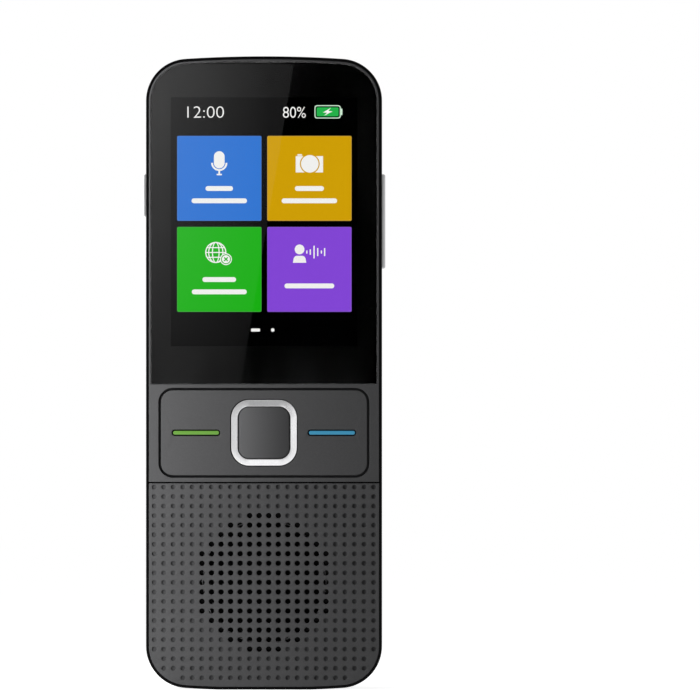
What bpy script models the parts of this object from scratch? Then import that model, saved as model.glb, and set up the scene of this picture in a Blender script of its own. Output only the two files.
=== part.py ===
"""A handheld translator: screen above, rocking keys in the middle, speaker below, battery in the back.

The device stands upright on its bottom end. X runs to the right as seen from the front, Z runs up, and
the front faces -Y. Depths are measured backwards from the rim of the front.
"""

import math

import bmesh
import bpy
from mathutils import Matrix, Vector

MM = 0.001
DEGREE = math.pi / 180
QUARTER = math.pi / 2

# Body: a rounded bar with slightly crowned ends, straight sides and a curved back
BODY_WIDTH = 46.4 * MM
BODY_HEIGHT = 124.5 * MM
BODY_DEPTH = 12.0 * MM
CORNER_RADIUS = 8.25 * MM
CROWN_RADIUS = 241.0 * MM
FOOT_FLAT_SHARE = 0.6
SIDE_DEPTH = 7.9 * MM
BACK_CURVE_INSET = 10.0 * MM
CORNER_TAPER_SHARE = 0.5
HOUSING_WALL = 1.5 * MM
COVER_WALL = 1.1 * MM

# Seams and fits
SIDE_SEAM_INSET = 1.04 * MM
SIDE_SEAM_GAP = 0.12 * MM
BACK_SEAM_DROP = 38.45 * MM
BACK_SEAM_GAP = 0.5 * MM
PANEL_GAP = 0.06 * MM
SEAT_GAP = 0.1 * MM
OVERRUN = 1.0 * MM
EMBED = 0.3 * MM

# Roundness of the model
CORNER_STEPS = 7
CROWN_STEPS = 6
BACK_STEPS = 6
RIM_STEPS = 2
HOLE_SIDES = 6
ROUND_SIDES = 24
SMALL_SIDES = 12
ISLAND_SIDES = 40
LOOP_CORNER_STEPS = 5
SMOOTH_ANGLE = 35 * DEGREE

# Front panels, set in the rim of the front housing
RIM_WIDTH = 0.52 * MM
RIM_ROUND = 0.25 * MM
PANEL_SET_BACK = 0.05 * MM
PANEL_THICKNESS = 1.15 * MM
GLASS_THICKNESS = 1.1 * MM
GLASS_LIP = 0.4 * MM
GRILLE_TOP_MARGIN = 6.3 * MM
GRILLE_SEAM_GAP = 0.3 * MM
WEB_THICKNESS = 1.1 * MM

# Speaker holes, one row after another from the top
HOLE_PITCH = 1.875 * MM
HOLE_RADIUS = 0.54 * MM
HOLES_IN_HALF_ROWS = (4, 8, 10, 12)
FULL_ROW_HOLES = 14
FULL_ROWS = 7

# Keys on the front
KEY_STRIP_LOWER_MARGIN = 0.97 * MM
KEY_STRIP_UPPER_MARGIN = 0.77 * MM
KEY_PLATE_MARGIN = 2.95 * MM
KEY_PLATE_HEIGHT = 16.7 * MM
KEY_PLATE_CORNER = 2.35 * MM
KEY_GROOVE = 0.48 * MM
KEY_FLANGE_REACH = 0.85 * MM
KEY_FLANGE_THICKNESS = 0.5 * MM
KEY_RISE_GAP = 0.45 * MM
KEY_DROP_GAP = 0.5 * MM
KEY_WELL_GAP = 0.3 * MM
WELL_FLOOR = 0.6 * MM
WELL_WALL = 0.8 * MM
ROCKER_PLUNGER_INSET = 4.75 * MM
ROCKER_PLUNGER_DROP = 3.6 * MM
ROCKER_PLUNGER_RADIUS = 1.0 * MM
PLUNGER_HOLE_GAP = 0.4 * MM
PLUNGER_REACH = 0.05 * MM
FULCRUM_WIDTH = 0.6 * MM
FULCRUM_LENGTH = 1.6 * MM

RING_SIZE = 12.92 * MM
RING_CORNER = 3.55 * MM
RING_WIDTH = 1.26 * MM
RING_SKIRT_WIDTH = 0.9 * MM
RING_PROUD = 0.25 * MM
RING_BEVEL = 0.2 * MM
RING_LIP = 1.1 * MM
RING_GAP = 0.15 * MM
OK_KEY_GAP = 0.14 * MM
OK_KEY_PROUD = 0.05 * MM
OK_KEY_BEVEL = 0.25 * MM
OK_FLANGE_REACH = 0.3 * MM
OK_FLANGE_THICKNESS = 0.5 * MM
OK_PLUNGER_RADIUS = 1.2 * MM

BAR_END_MARGIN = 2.12 * MM
BAR_SLOT_WIDTH = 1.26 * MM
BAR_WIDTH = 0.74 * MM
BAR_SET_BACK = 0.08 * MM
BAR_FOOT_DEPTH = 0.5 * MM
BAR_FOOT_GAP = 0.08 * MM
LIGHT_HOLE_RADIUS = 0.5 * MM

DOME_RADIUS = 2.0 * MM
DOME_RISE = 0.3 * MM
DOME_THICKNESS = 0.12 * MM
DOME_TRAVEL_GAP = 0.35 * MM
DOME_SEAT_GAP = 0.04 * MM
KEYPAD_BOARD_THICKNESS = 0.6 * MM
KEYPAD_BOARD_MARGIN = 0.6 * MM
KEYPAD_POST_RADIUS = 1.1 * MM
KEYPAD_POST_INSET = 2.0 * MM
EMITTER_LENGTH = 1.6 * MM
EMITTER_WIDTH = 0.8 * MM
EMITTER_THICKNESS = 0.45 * MM

# Keys on the sides
SIDE_KEY_DEPTH = 5.8 * MM
SIDE_KEY_WIDTH = 2.4 * MM
SIDE_KEY_PROUD = 0.68 * MM
SIDE_KEY_BEVEL = 0.35 * MM
SIDE_KEY_GAP = 0.15 * MM
SIDE_FLANGE_REACH = 0.4 * MM
SIDE_FLANGE_THICKNESS = 0.45 * MM
POWER_KEY_LENGTH = 8.5 * MM
POWER_KEY_DROP = 27.15 * MM
POWER_FLANGE_GAP = 0.15 * MM
VOLUME_KEY_LENGTH = 18.65 * MM
VOLUME_KEY_DROP = 32.28 * MM
VOLUME_FLANGE_GAP = 0.4 * MM
SIDE_SWITCH_LENGTH = 4.0 * MM
SIDE_SWITCH_WIDTH = 3.0 * MM
SIDE_SWITCH_THICKNESS = 1.85 * MM
SWITCH_NUB_LENGTH = 0.2 * MM
SWITCH_NUB_SIZE = 0.9 * MM
VOLUME_SWITCH_SPREAD = 4.9 * MM

# Display
DISPLAY_SIDE_GAP = 0.35 * MM
DISPLAY_WINDOW_GAP = 0.1 * MM
DISPLAY_BOTTOM_MARGIN = 1.1 * MM
DISPLAY_TOP_MARGIN = 5.8 * MM
DISPLAY_THICKNESS = 2.25 * MM
FRAME_THICKNESS = 0.3 * MM
FRAME_MARGIN = 0.3 * MM
FRAME_CORNER = 1.0 * MM
FRAME_WINDOW_SHARE = 0.55
RIBBON_THICKNESS = 0.15 * MM
RIBBON_GAP = 0.1 * MM
DISPLAY_RIBBON_WIDTH = 14.0 * MM
DISPLAY_RIBBON_LENGTH = 12.0 * MM
KEYPAD_RIBBON_WIDTH = 8.0 * MM
KEYPAD_RIBBON_OVERLAP = 4.0 * MM

# Main board
BOARD_STANDOFF = 0.4 * MM
BOARD_THICKNESS = 0.8 * MM
BOARD_EDGE_INSET = 2.9 * MM
BOARD_BOTTOM_GAP = 1.9 * MM
BOARD_NOTCH_GAP = 0.3 * MM
SHIELD_THICKNESS = 1.5 * MM
SHIELD_BEVEL = 0.25 * MM
PROCESSOR_SHIELD_SHARE = 0.57
PROCESSOR_SHIELD_HEIGHT = 14.0 * MM
RADIO_SHIELD_HEIGHT = 12.0 * MM
SHIELD_SPACING = 1.5 * MM
SHIELD_DROP = 29.0 * MM

# Speaker
SPEAKER_LIFT = 0.5 * MM
SPEAKER_OPENING_RADIUS = 12.3 * MM
GASKET_RADIUS = 13.3 * MM
GASKET_WIDTH = 1.0 * MM
GASKET_THICKNESS = 0.25 * MM
BASKET_RIM = 0.75 * MM
BASKET_THICKNESS = 0.3 * MM
BASKET_NECK_RADIUS = 6.0 * MM
BASKET_DEPTH = 1.5 * MM
CONE_EDGE_GAP = 0.2 * MM
CONE_NECK_RADIUS = 4.0 * MM
CONE_DEPTH = 0.9 * MM
CONE_THICKNESS = 0.15 * MM
DUST_CAP_RISE = 0.5 * MM
MAGNET_RADIUS = 7.5 * MM
MAGNET_THICKNESS = 0.85 * MM
MAGNET_BEVEL = 0.2 * MM

# Lower board with the charging socket and the microphone
SOCKET_WIDTH = 7.5 * MM
SOCKET_THICKNESS = 2.5 * MM
SOCKET_LENGTH = 5.0 * MM
SOCKET_WALL = 0.3 * MM
SOCKET_SET_BACK = 0.3 * MM
SOCKET_BEVEL = 0.35 * MM
SOCKET_SLOT_GAP = 0.25 * MM
SOCKET_TONGUE_WIDTH = 4.0 * MM
SOCKET_TONGUE_THICKNESS = 0.5 * MM
SOCKET_TONGUE_LENGTH = 3.4 * MM
SOCKET_FLOOR = 0.8 * MM
LOWER_BOARD_BOSS_GAP = 1.65 * MM
LOWER_BOARD_HEIGHT = 5.2 * MM
LOWER_BOARD_LIFT = 0.6 * MM
LOWER_BOARD_THICKNESS = 0.5 * MM
LOWER_BOARD_CORNER = 0.5 * MM
MICROPHONE_INSET = 1.5 * MM
MICROPHONE_WIDTH = 3.0 * MM
MICROPHONE_HEIGHT = 2.2 * MM
MICROPHONE_THICKNESS = 1.0 * MM
MICROPHONE_HOLE_RADIUS = 0.5 * MM

# Rear housing: deck, battery pocket and bulkhead
DECK_GAP = 0.6 * MM
DECK_THICKNESS = 0.8 * MM
DECK_EDGE_GAP = 0.15 * MM
BULKHEAD_WALL = 1.2 * MM
LIP_THICKNESS = 0.6 * MM
LIP_LENGTH = 1.0 * MM
TONGUE_LENGTH = 1.5 * MM
TONGUE_THICKNESS = 0.8 * MM
TONGUE_GAP = 0.15 * MM
BOARD_POST_RADIUS = 1.3 * MM
BOARD_POST_INSET = 4.8 * MM
BOARD_POST_DROP = 17.0 * MM
KEY_BAY_MARGIN = 1.0 * MM
KEY_BAY_REACH = 5.0 * MM

# Battery and its contacts
BATTERY_SIDE_MARGIN = 7.0 * MM
BATTERY_BOTTOM_HEIGHT = 8.6 * MM
BATTERY_HEAD_LENGTH = 3.2 * MM
BATTERY_ROUND = 0.9 * MM
BATTERY_COVER_GAP = 0.4 * MM
BATTERY_POCKET_GAP = 0.35 * MM
POCKET_WALL = 0.9 * MM
POCKET_RISE = 3.1 * MM
CONTACT_BLOCK_WIDTH = 12.0 * MM
CONTACT_BLOCK_HEIGHT = 4.6 * MM
CONTACT_BLOCK_THICKNESS = 3.0 * MM
CONTACT_BLOCK_GAP = 0.7 * MM
CONTACT_BLOCK_DROP = 12.45 * MM
CONTACT_COUNT = 3
CONTACT_PITCH = 3.4 * MM
CONTACT_WIDTH = 1.2 * MM
CONTACT_THICKNESS = 0.25 * MM
CONTACT_RISE = 1.4 * MM
CONTACT_SLOT_GAP = 0.15 * MM
CONTACT_SLOT_DEPTH = 2.2 * MM
PAD_GAP = 0.1 * MM

# Screws
SCREW_HEAD_RADIUS = 1.3 * MM
SCREW_HEAD_THICKNESS = 0.65 * MM
SCREW_SHANK_RADIUS = 0.65 * MM
SCREW_LENGTH = 2.6 * MM
SCREW_HOLE_GAP = 0.15 * MM
BOSS_RADIUS = 1.7 * MM
LOWER_BOSS_INSET = 5.85 * MM
LOWER_BOSS_HEIGHT = 5.0 * MM
UPPER_BOSS_INSET = 3.7 * MM
UPPER_BOSS_DROP = 8.05 * MM
UPPER_BOSS_LENGTH = 1.5 * MM

# Camera
CAMERA_DROP = 11.2 * MM
ISLAND_PROUD = 0.7 * MM
ISLAND_RADIUS = 6.65 * MM
ISLAND_DRAFT_SHARE = 0.32
ISLAND_ROOT_DEPTH = 2.0 * MM
ISLAND_RIM_WIDTH = 0.4 * MM
CAMERA_PLATE_GAP = 0.06 * MM
CAMERA_PLATE_THICKNESS = 0.6 * MM
CAMERA_PLATE_SET_BACK = 0.12 * MM
LENS_OFFSET = 2.2 * MM
LENS_SURROUND_RADIUS = 1.57 * MM
LENS_SURROUND_THICKNESS = 0.45 * MM
LENS_PUPIL_RADIUS = 0.38 * MM
LENS_CONE_RADIUS = 0.75 * MM
LENS_GLASS_RADIUS = 1.35 * MM
LENS_GLASS_THICKNESS = 0.35 * MM
LENS_GLASS_DOME_SHARE = 0.6
FLASH_RADIUS = 1.4 * MM
FLASH_THICKNESS = 0.5 * MM
WINDOW_GAP = 0.07 * MM
CAMERA_BARREL_RADIUS = 1.9 * MM
CAMERA_BARREL_GAP = 0.25 * MM
CAMERA_BARREL_LENGTH = 1.6 * MM
CAMERA_MODULE_SIZE = 7.0 * MM
BRACKET_WALL = 0.7 * MM
BRACKET_PEDESTAL_WIDTH = 2.6 * MM
FLASH_EMITTER_SIZE = 2.0 * MM
FLASH_EMITTER_THICKNESS = 0.7 * MM

# Antenna strip
ANTENNA_SIDE_MARGIN = 3.2 * MM
ANTENNA_HEIGHT = 5.0 * MM
ANTENNA_THICKNESS = 0.25 * MM
ANTENNA_DROP = 23.0 * MM
ANTENNA_CORNER = 0.8 * MM

# Depths and places that follow from the sizes above
FRONT_Y = RING_PROUD - (BODY_DEPTH + RING_PROUD + ISLAND_PROUD) / 2
BACK_CURVE_DEPTH = BODY_DEPTH - SIDE_DEPTH
SEAM_ANGLE = math.acos(1 - SIDE_SEAM_INSET / BACK_CURVE_INSET)
SEAM_DEPTH = SIDE_DEPTH + BACK_CURVE_DEPTH * math.sin(SEAM_ANGLE)
COVER_EDGE_DEPTH = SEAM_DEPTH + SIDE_SEAM_GAP
COVER_EDGE_ANGLE = math.asin((COVER_EDGE_DEPTH - SIDE_DEPTH) / BACK_CURVE_DEPTH)
INNER_HALF_WIDTH = BODY_WIDTH / 2 - HOUSING_WALL
PANEL_BACK = PANEL_SET_BACK + PANEL_THICKNESS
PANEL_SEAT = PANEL_BACK + SEAT_GAP
WEB_BACK = PANEL_SEAT + WEB_THICKNESS

LOWER_BOARD_TOP = HOUSING_WALL + LOWER_BOARD_LIFT + LOWER_BOARD_HEIGHT
LOWER_BOARD_HALF_WIDTH = BODY_WIDTH / 2 - LOWER_BOSS_INSET - BOSS_RADIUS - LOWER_BOARD_BOSS_GAP
MICROPHONE_OFFSET = LOWER_BOARD_HALF_WIDTH - MICROPHONE_INSET - MICROPHONE_WIDTH / 2
HOLES_HEIGHT = LOWER_BOARD_TOP + SPEAKER_LIFT + GASKET_RADIUS
GRILLE_TOP_HEIGHT = HOLES_HEIGHT + GASKET_RADIUS + GRILLE_TOP_MARGIN
KEYS_HEIGHT = GRILLE_TOP_HEIGHT + KEY_STRIP_LOWER_MARGIN + KEY_GROOVE + KEY_PLATE_HEIGHT / 2
GLASS_BOTTOM_HEIGHT = KEYS_HEIGHT + KEY_PLATE_HEIGHT / 2 + KEY_GROOVE + KEY_STRIP_UPPER_MARGIN

KEY_PLATE_WIDTH = BODY_WIDTH - 2 * KEY_PLATE_MARGIN
ROCKER_PLUNGER_OFFSET = KEY_PLATE_WIDTH / 2 - ROCKER_PLUNGER_INSET
BAR_LENGTH = (KEY_PLATE_WIDTH - RING_SIZE) / 2 - 2 * BAR_END_MARGIN
BAR_OFFSET = (KEY_PLATE_WIDTH + RING_SIZE) / 4
KEY_FLANGE_FRONT = PANEL_BACK + KEY_RISE_GAP
KEY_FLANGE_BACK = KEY_FLANGE_FRONT + KEY_FLANGE_THICKNESS
WELL_FLOOR_FRONT = KEY_FLANGE_BACK + KEY_DROP_GAP
WELL_FLOOR_BACK = WELL_FLOOR_FRONT + WELL_FLOOR
PLUNGER_TIP = WELL_FLOOR_BACK + PLUNGER_REACH
DOME_FRONT = PLUNGER_TIP + DOME_TRAVEL_GAP
DOME_BACK = DOME_FRONT + DOME_RISE
KEYPAD_BOARD_FRONT = DOME_BACK + DOME_SEAT_GAP
KEYPAD_BOARD_BACK = KEYPAD_BOARD_FRONT + KEYPAD_BOARD_THICKNESS
ROCKER_PLUNGER_HEIGHT = KEYS_HEIGHT - ROCKER_PLUNGER_DROP
RING_INNER_SIZE = RING_SIZE - 2 * RING_WIDTH
LIGHT_HOLE_OFFSET = BAR_OFFSET - BAR_LENGTH / 4

DISPLAY_FRONT = PANEL_SET_BACK + GLASS_THICKNESS + SEAT_GAP
DISPLAY_BACK = DISPLAY_FRONT + DISPLAY_THICKNESS
DISPLAY_HALF_WIDTH = INNER_HALF_WIDTH - DISPLAY_SIDE_GAP
DISPLAY_BOTTOM = GLASS_BOTTOM_HEIGHT + DISPLAY_BOTTOM_MARGIN
DISPLAY_TOP = BODY_HEIGHT - DISPLAY_TOP_MARGIN
FRAME_FRONT = DISPLAY_BACK + SEAT_GAP
FRAME_BACK = FRAME_FRONT + FRAME_THICKNESS
BOARD_FRONT = FRAME_BACK + BOARD_STANDOFF
BOARD_BACK = BOARD_FRONT + BOARD_THICKNESS
BOARD_HALF_WIDTH = BODY_WIDTH / 2 - BOARD_EDGE_INSET
BOARD_BOTTOM = GLASS_BOTTOM_HEIGHT + BOARD_BOTTOM_GAP
BOARD_POST_OFFSET = BOARD_HALF_WIDTH - BOARD_POST_INSET
SHIELDS_HALF_WIDTH = BOARD_HALF_WIDTH - SEAT_GAP - SIDE_SWITCH_WIDTH - SHIELD_SPACING
PROCESSOR_SHIELD_WIDTH = 2 * SHIELDS_HALF_WIDTH * PROCESSOR_SHIELD_SHARE

DECK_FRONT = BOARD_BACK + DECK_GAP
DECK_BACK = DECK_FRONT + DECK_THICKNESS
DECK_HALF_WIDTH = INNER_HALF_WIDTH - DECK_EDGE_GAP
BACK_SEAM_HEIGHT = BODY_HEIGHT - BACK_SEAM_DROP
REAR_EDGE_HEIGHT = BACK_SEAM_HEIGHT + BACK_SEAM_GAP / 2
COVER_TOP_HEIGHT = BACK_SEAM_HEIGHT - BACK_SEAM_GAP / 2
BULKHEAD_TOP = REAR_EDGE_HEIGHT + BULKHEAD_WALL
BATTERY_FRONT = DECK_BACK + SEAT_GAP
BATTERY_BACK = BODY_DEPTH - COVER_WALL - BATTERY_COVER_GAP
BATTERY_WIDTH = BODY_WIDTH - 2 * BATTERY_SIDE_MARGIN
CONTACT_BLOCK_TOP = BACK_SEAM_HEIGHT - CONTACT_BLOCK_DROP
CONTACT_BLOCK_BOTTOM = CONTACT_BLOCK_TOP - CONTACT_BLOCK_HEIGHT
BATTERY_HEAD_TOP = CONTACT_BLOCK_BOTTOM - CONTACT_BLOCK_GAP
BATTERY_CELL_TOP_HEIGHT = BATTERY_HEAD_TOP - BATTERY_HEAD_LENGTH - SEAT_GAP
UPPER_BOSS_HEIGHT = BACK_SEAM_HEIGHT - UPPER_BOSS_DROP
ANTENNA_WIDTH = BODY_WIDTH - 2 * BACK_CURVE_INSET - 2 * ANTENNA_SIDE_MARGIN
SHELL_INNER_BACK = BODY_DEPTH - COVER_WALL

POWER_KEY_HEIGHT = BODY_HEIGHT - POWER_KEY_DROP
VOLUME_KEY_HEIGHT = BODY_HEIGHT - VOLUME_KEY_DROP
CAMERA_HEIGHT = BODY_HEIGHT - CAMERA_DROP
ISLAND_TOP = BODY_DEPTH + ISLAND_PROUD
CAMERA_PLATE_BACK = ISLAND_TOP - CAMERA_PLATE_SET_BACK
CAMERA_PLATE_FRONT = CAMERA_PLATE_BACK - CAMERA_PLATE_THICKNESS
CAMERA_SEAT = CAMERA_PLATE_FRONT - SEAT_GAP
SCREW_PLACES = (
    ("screw_lower_left", LOWER_BOSS_INSET - BODY_WIDTH / 2, LOWER_BOSS_HEIGHT),
    ("screw_lower_right", BODY_WIDTH / 2 - LOWER_BOSS_INSET, LOWER_BOSS_HEIGHT),
    ("screw_upper_left", UPPER_BOSS_INSET - BODY_WIDTH / 2, UPPER_BOSS_HEIGHT),
    ("screw_upper_right", BODY_WIDTH / 2 - UPPER_BOSS_INSET, UPPER_BOSS_HEIGHT),
)

# Colour, roughness and metallic value of each material
FINISHES = {
    "gloss_black": ((0.004, 0.004, 0.004), 0.2, 0.0),
    "grey_plastic": ((0.09, 0.09, 0.092), 0.45, 0.0),
    "soft_black": ((0.032, 0.032, 0.034), 0.5, 0.0),
    "inner_plastic": ((0.02, 0.02, 0.022), 0.6, 0.0),
    "cover_glass": ((0.01, 0.01, 0.012), 0.05, 0.0),
    "display": ((0.02, 0.03, 0.05), 0.3, 0.0),
    "silver": ((0.72, 0.72, 0.72), 0.25, 1.0),
    "steel": ((0.55, 0.55, 0.56), 0.35, 1.0),
    "brass": ((0.8, 0.58, 0.25), 0.3, 1.0),
    "board": ((0.01, 0.09, 0.05), 0.5, 0.0),
    "ribbon": ((0.45, 0.2, 0.03), 0.5, 0.0),
    "green_light": ((0.16, 0.42, 0.07), 0.3, 0.0),
    "blue_light": ((0.05, 0.27, 0.45), 0.3, 0.0),
    "flash_yellow": ((0.9, 0.82, 0.15), 0.3, 0.0),
    "lens_grey": ((0.12, 0.12, 0.12), 0.4, 0.0),
    "cell_wrap": ((0.5, 0.5, 0.52), 0.5, 0.0),
    "foam": ((0.03, 0.03, 0.03), 0.9, 0.0),
    "magnet": ((0.35, 0.35, 0.36), 0.4, 1.0),
}


def y_at(depth):
    """Y of a depth behind the rim of the front."""
    return FRONT_Y + depth


def new_collection(name):
    """A new collection in the scene."""
    collection = bpy.data.collections.new(name)
    bpy.context.scene.collection.children.link(collection)
    return collection


def clear_scene():
    """Remove the objects and collections that the scene starts with."""
    for old in list(bpy.data.objects):
        bpy.data.objects.remove(old, do_unlink=True)
    for old in list(bpy.data.collections):
        bpy.data.collections.remove(old)


clear_scene()
PIECES = new_collection("handheld_translator")
CUTTERS = new_collection("cutters")


def make_materials():
    """One Principled material for each finish."""
    made = {}
    for name, (colour, roughness, metallic) in FINISHES.items():
        material = bpy.data.materials.new(name)
        material.use_nodes = True
        shader = material.node_tree.nodes["Principled BSDF"]
        shader.inputs["Base Color"].default_value = (*colour, 1)
        shader.inputs["Roughness"].default_value = roughness
        shader.inputs["Metallic"].default_value = metallic
        made[name] = material
    return made


MATERIALS = make_materials()


# Outlines, seen from the front as lists of (x, z)


def arc(centre_x, centre_z, radius, start, end, steps):
    """Points on an arc, both ends included."""
    points = []
    for step in range(steps + 1):
        angle = start + (end - start) * step / steps
        points.append((centre_x + radius * math.cos(angle), centre_z + radius * math.sin(angle)))
    return points


def body_outline(inset, corner=None):
    """The body's outline drawn in by inset, with the small flat that it stands on."""
    if corner is None:
        corner = CORNER_RADIUS - inset
    crown = CROWN_RADIUS - inset
    corner_x = BODY_WIDTH / 2 - inset - corner
    lean = math.asin(corner_x / (crown - corner))
    rise = (crown - corner) * math.cos(lean)
    foot = FOOT_FLAT_SHARE * (BODY_WIDTH / 2 - CORNER_RADIUS)
    top_centre = BODY_HEIGHT - CROWN_RADIUS
    bottom_centre = math.sqrt(CROWN_RADIUS ** 2 - foot ** 2)
    foot_lean = math.acos((bottom_centre - inset) / crown)
    low_corner = bottom_centre - rise
    high_corner = top_centre + rise
    points = arc(0, bottom_centre, crown, foot_lean - QUARTER, lean - QUARTER, RIM_STEPS)
    points += arc(corner_x, low_corner, corner, lean - QUARTER, 0, CORNER_STEPS)[1:]
    points += arc(corner_x, high_corner, corner, 0, QUARTER - lean, CORNER_STEPS)
    points += arc(0, top_centre, crown, QUARTER - lean, QUARTER + lean, CROWN_STEPS)[1:-1]
    points += arc(-corner_x, high_corner, corner, QUARTER + lean, math.pi, CORNER_STEPS)
    points += arc(-corner_x, low_corner, corner, math.pi, 3 * QUARTER - lean, CORNER_STEPS)
    points += arc(0, bottom_centre, crown, -QUARTER - lean, -QUARTER - foot_lean, RIM_STEPS)[1:]
    return points


def band(points, low, high):
    """The part of a convex outline between two heights."""
    for limit, side in ((low, 1), (high, -1)):
        kept = []
        for here, after in zip(points, points[1:] + points[:1]):
            here_in = side * (here[1] - limit) >= 0
            after_in = side * (after[1] - limit) >= 0
            if here_in:
                kept.append(here)
            if here_in != after_in:
                share = (limit - here[1]) / (after[1] - here[1])
                kept.append((here[0] + share * (after[0] - here[0]), limit))
        points = kept
    return points


def rounded_rectangle(centre_x, centre_z, width, height, corner, steps=LOOP_CORNER_STEPS):
    """A rectangle with round corners."""
    points = []
    for turn, (side_x, side_z) in enumerate(((1, -1), (1, 1), (-1, 1), (-1, -1))):
        corner_x = centre_x + side_x * (width / 2 - corner)
        corner_z = centre_z + side_z * (height / 2 - corner)
        start = (turn - 1) * QUARTER
        points += arc(corner_x, corner_z, corner, start, start + QUARTER, steps)
    return points


def circle(centre_x, centre_z, radius, sides):
    """A circle of so many sides, one of them level at the top."""
    start = math.pi / sides
    return arc(centre_x, centre_z, radius, start, start + 2 * math.pi, sides)[:-1]


# Solids


def add_piece(name, mesh, finish=None, location=(0, 0, 0)):
    """A new object in the pieces' collection."""
    piece = bpy.data.objects.new(name, mesh)
    PIECES.objects.link(piece)
    piece.location = location
    if finish:
        mesh.materials.append(MATERIALS[finish])
    mesh.shade_smooth()
    mesh.set_sharp_from_angle(angle=SMOOTH_ANGLE)
    return piece


def mesh_from(shape, name):
    """A mesh with outward faces from a bmesh."""
    bmesh.ops.recalc_face_normals(shape, faces=shape.faces)
    mesh = bpy.data.meshes.new(name)
    shape.to_mesh(mesh)
    shape.free()
    return mesh


def flat_solid(name, loops, half_thickness, location, rotation, finish):
    """A flat outline with its openings, extruded, as a mesh."""
    outline = bpy.data.curves.new(name + "_outline", "CURVE")
    outline.dimensions = "2D"
    outline.fill_mode = "BOTH"
    outline.extrude = half_thickness
    for loop in loops:
        spline = outline.splines.new("POLY")
        spline.points.add(len(loop) - 1)
        for point, (across, up) in zip(spline.points, loop):
            point.co = (across, up, 0, 1)
        spline.use_cyclic_u = True
    drawn = bpy.data.objects.new(name + "_outline", outline)
    PIECES.objects.link(drawn)
    drawn.location = location
    drawn.rotation_euler = rotation
    bpy.context.view_layer.update()
    filled = bpy.data.meshes.new_from_object(drawn.evaluated_get(bpy.context.evaluated_depsgraph_get()))
    placed = drawn.matrix_world.copy()
    bpy.data.objects.remove(drawn)
    bpy.data.curves.remove(outline)
    shape = bmesh.new()
    shape.from_mesh(filled)
    bpy.data.meshes.remove(filled)
    bmesh.ops.remove_doubles(shape, verts=shape.verts, dist=MM / 1000)
    piece = add_piece(name, mesh_from(shape, name), finish)
    piece.matrix_world = placed
    return piece


def plate(name, loops, front, back, finish=None):
    """A plate parallel to the front, from loops of (x, z) between two depths."""
    middle = (0, y_at((front + back) / 2), 0)
    return flat_solid(name, loops, (back - front) / 2, middle, (QUARTER, 0, 0), finish)


def side_plate(name, loops, centre_x, width, finish=None):
    """A strip with a side profile, from loops of (y, z), so wide across the device."""
    return flat_solid(name, loops, width / 2, (centre_x, 0, 0), (QUARTER, 0, QUARTER), finish)


def loft(name, rings, finish=None):
    """A closed solid through rings of as many points, each a depth and its (x, z) points."""
    shape = bmesh.new()
    loops = [[shape.verts.new((x, y_at(depth), z)) for x, z in points] for depth, points in rings]
    for near, far in zip(loops, loops[1:]):
        for index in range(len(near)):
            after = (index + 1) % len(near)
            shape.faces.new((near[index], near[after], far[after], far[index]))
    shape.faces.new(loops[0])
    shape.faces.new(loops[-1])
    return add_piece(name, mesh_from(shape, name), finish)


def block(name, x_span, depth_span, z_span, finish=None, bevel=0, bevel_steps=2):
    """A box between two values of x, depth and z, with its edges rounded by bevel."""
    low = Vector((x_span[0], y_at(depth_span[0]), z_span[0]))
    high = Vector((x_span[1], y_at(depth_span[1]), z_span[1]))
    shape = bmesh.new()
    bmesh.ops.create_cube(shape, size=1, matrix=Matrix.Diagonal((*(high - low), 1)))
    piece = add_piece(name, mesh_from(shape, name), finish, (low + high) / 2)
    if bevel:
        rounding = piece.modifiers.new("rounding", "BEVEL")
        rounding.width = bevel
        rounding.segments = bevel_steps
    return piece


def rod(name, centre_x, centre_z, radius, front, back, finish=None, back_radius=None, sides=ROUND_SIDES):
    """A round bar or cone that runs straight back, between two depths."""
    shape = bmesh.new()
    turn = Matrix.Rotation(-QUARTER, 4, "X") @ Matrix.Rotation(math.pi / sides, 4, "Z")
    bmesh.ops.create_cone(
        shape, cap_ends=True, segments=sides, radius1=radius, depth=back - front, matrix=turn,
        radius2=radius if back_radius is None else back_radius)
    return add_piece(name, mesh_from(shape, name), finish, (centre_x, y_at((front + back) / 2), centre_z))


def turned(name, centre_x, centre_z, profile, finish=None, sides=ROUND_SIDES, is_ring=False):
    """A round solid about an axis that runs straight back, from a profile of (radius, depth).

    The profile starts at the back and runs down the outer side to the front.
    """
    origin_depth = profile[0][1]
    shape = bmesh.new()
    corners = [shape.verts.new((radius, 0, depth - origin_depth)) for radius, depth in profile]
    for here, after in zip(corners, corners[1:]):
        shape.edges.new((here, after))
    if is_ring:
        shape.edges.new((corners[-1], corners[0]))
    mesh = bpy.data.meshes.new(name)
    shape.to_mesh(mesh)
    shape.free()
    piece = add_piece(name, mesh, finish, (centre_x, y_at(origin_depth), centre_z))
    piece.rotation_euler = (-QUARTER, 0, 0)
    spin = piece.modifiers.new("turning", "SCREW")
    spin.steps = sides
    spin.render_steps = sides
    spin.use_merge_vertices = True
    spin.merge_threshold = MM / 1000
    return piece


def combine(piece, other, operation):
    """Add a Boolean with another object, which then only guides the shape."""
    step = piece.modifiers.new(other.name, "BOOLEAN")
    step.operation = operation
    step.solver = "EXACT"
    step.object = other
    other.name = f"{piece.name}_{other.name}"
    PIECES.objects.unlink(other)
    CUTTERS.objects.link(other)
    other.hide_render = True
    other.display_type = "WIRE"
    return piece


def cut(piece, *others):
    """Cut other solids out of a piece."""
    for other in others:
        combine(piece, other, "DIFFERENCE")


def fuse(piece, *others):
    """Join other solids to a piece, as one moulding."""
    for other in others:
        combine(piece, other, "UNION")


def carry(name, pivot, *pieces):
    """Hang pieces on an empty that stands on their joint's axis."""
    axis = bpy.data.objects.new(name, None)
    PIECES.objects.link(axis)
    axis.location = pivot
    for piece in pieces:
        piece.parent = axis
        piece.location = piece.location - axis.location


# The curved body


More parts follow.
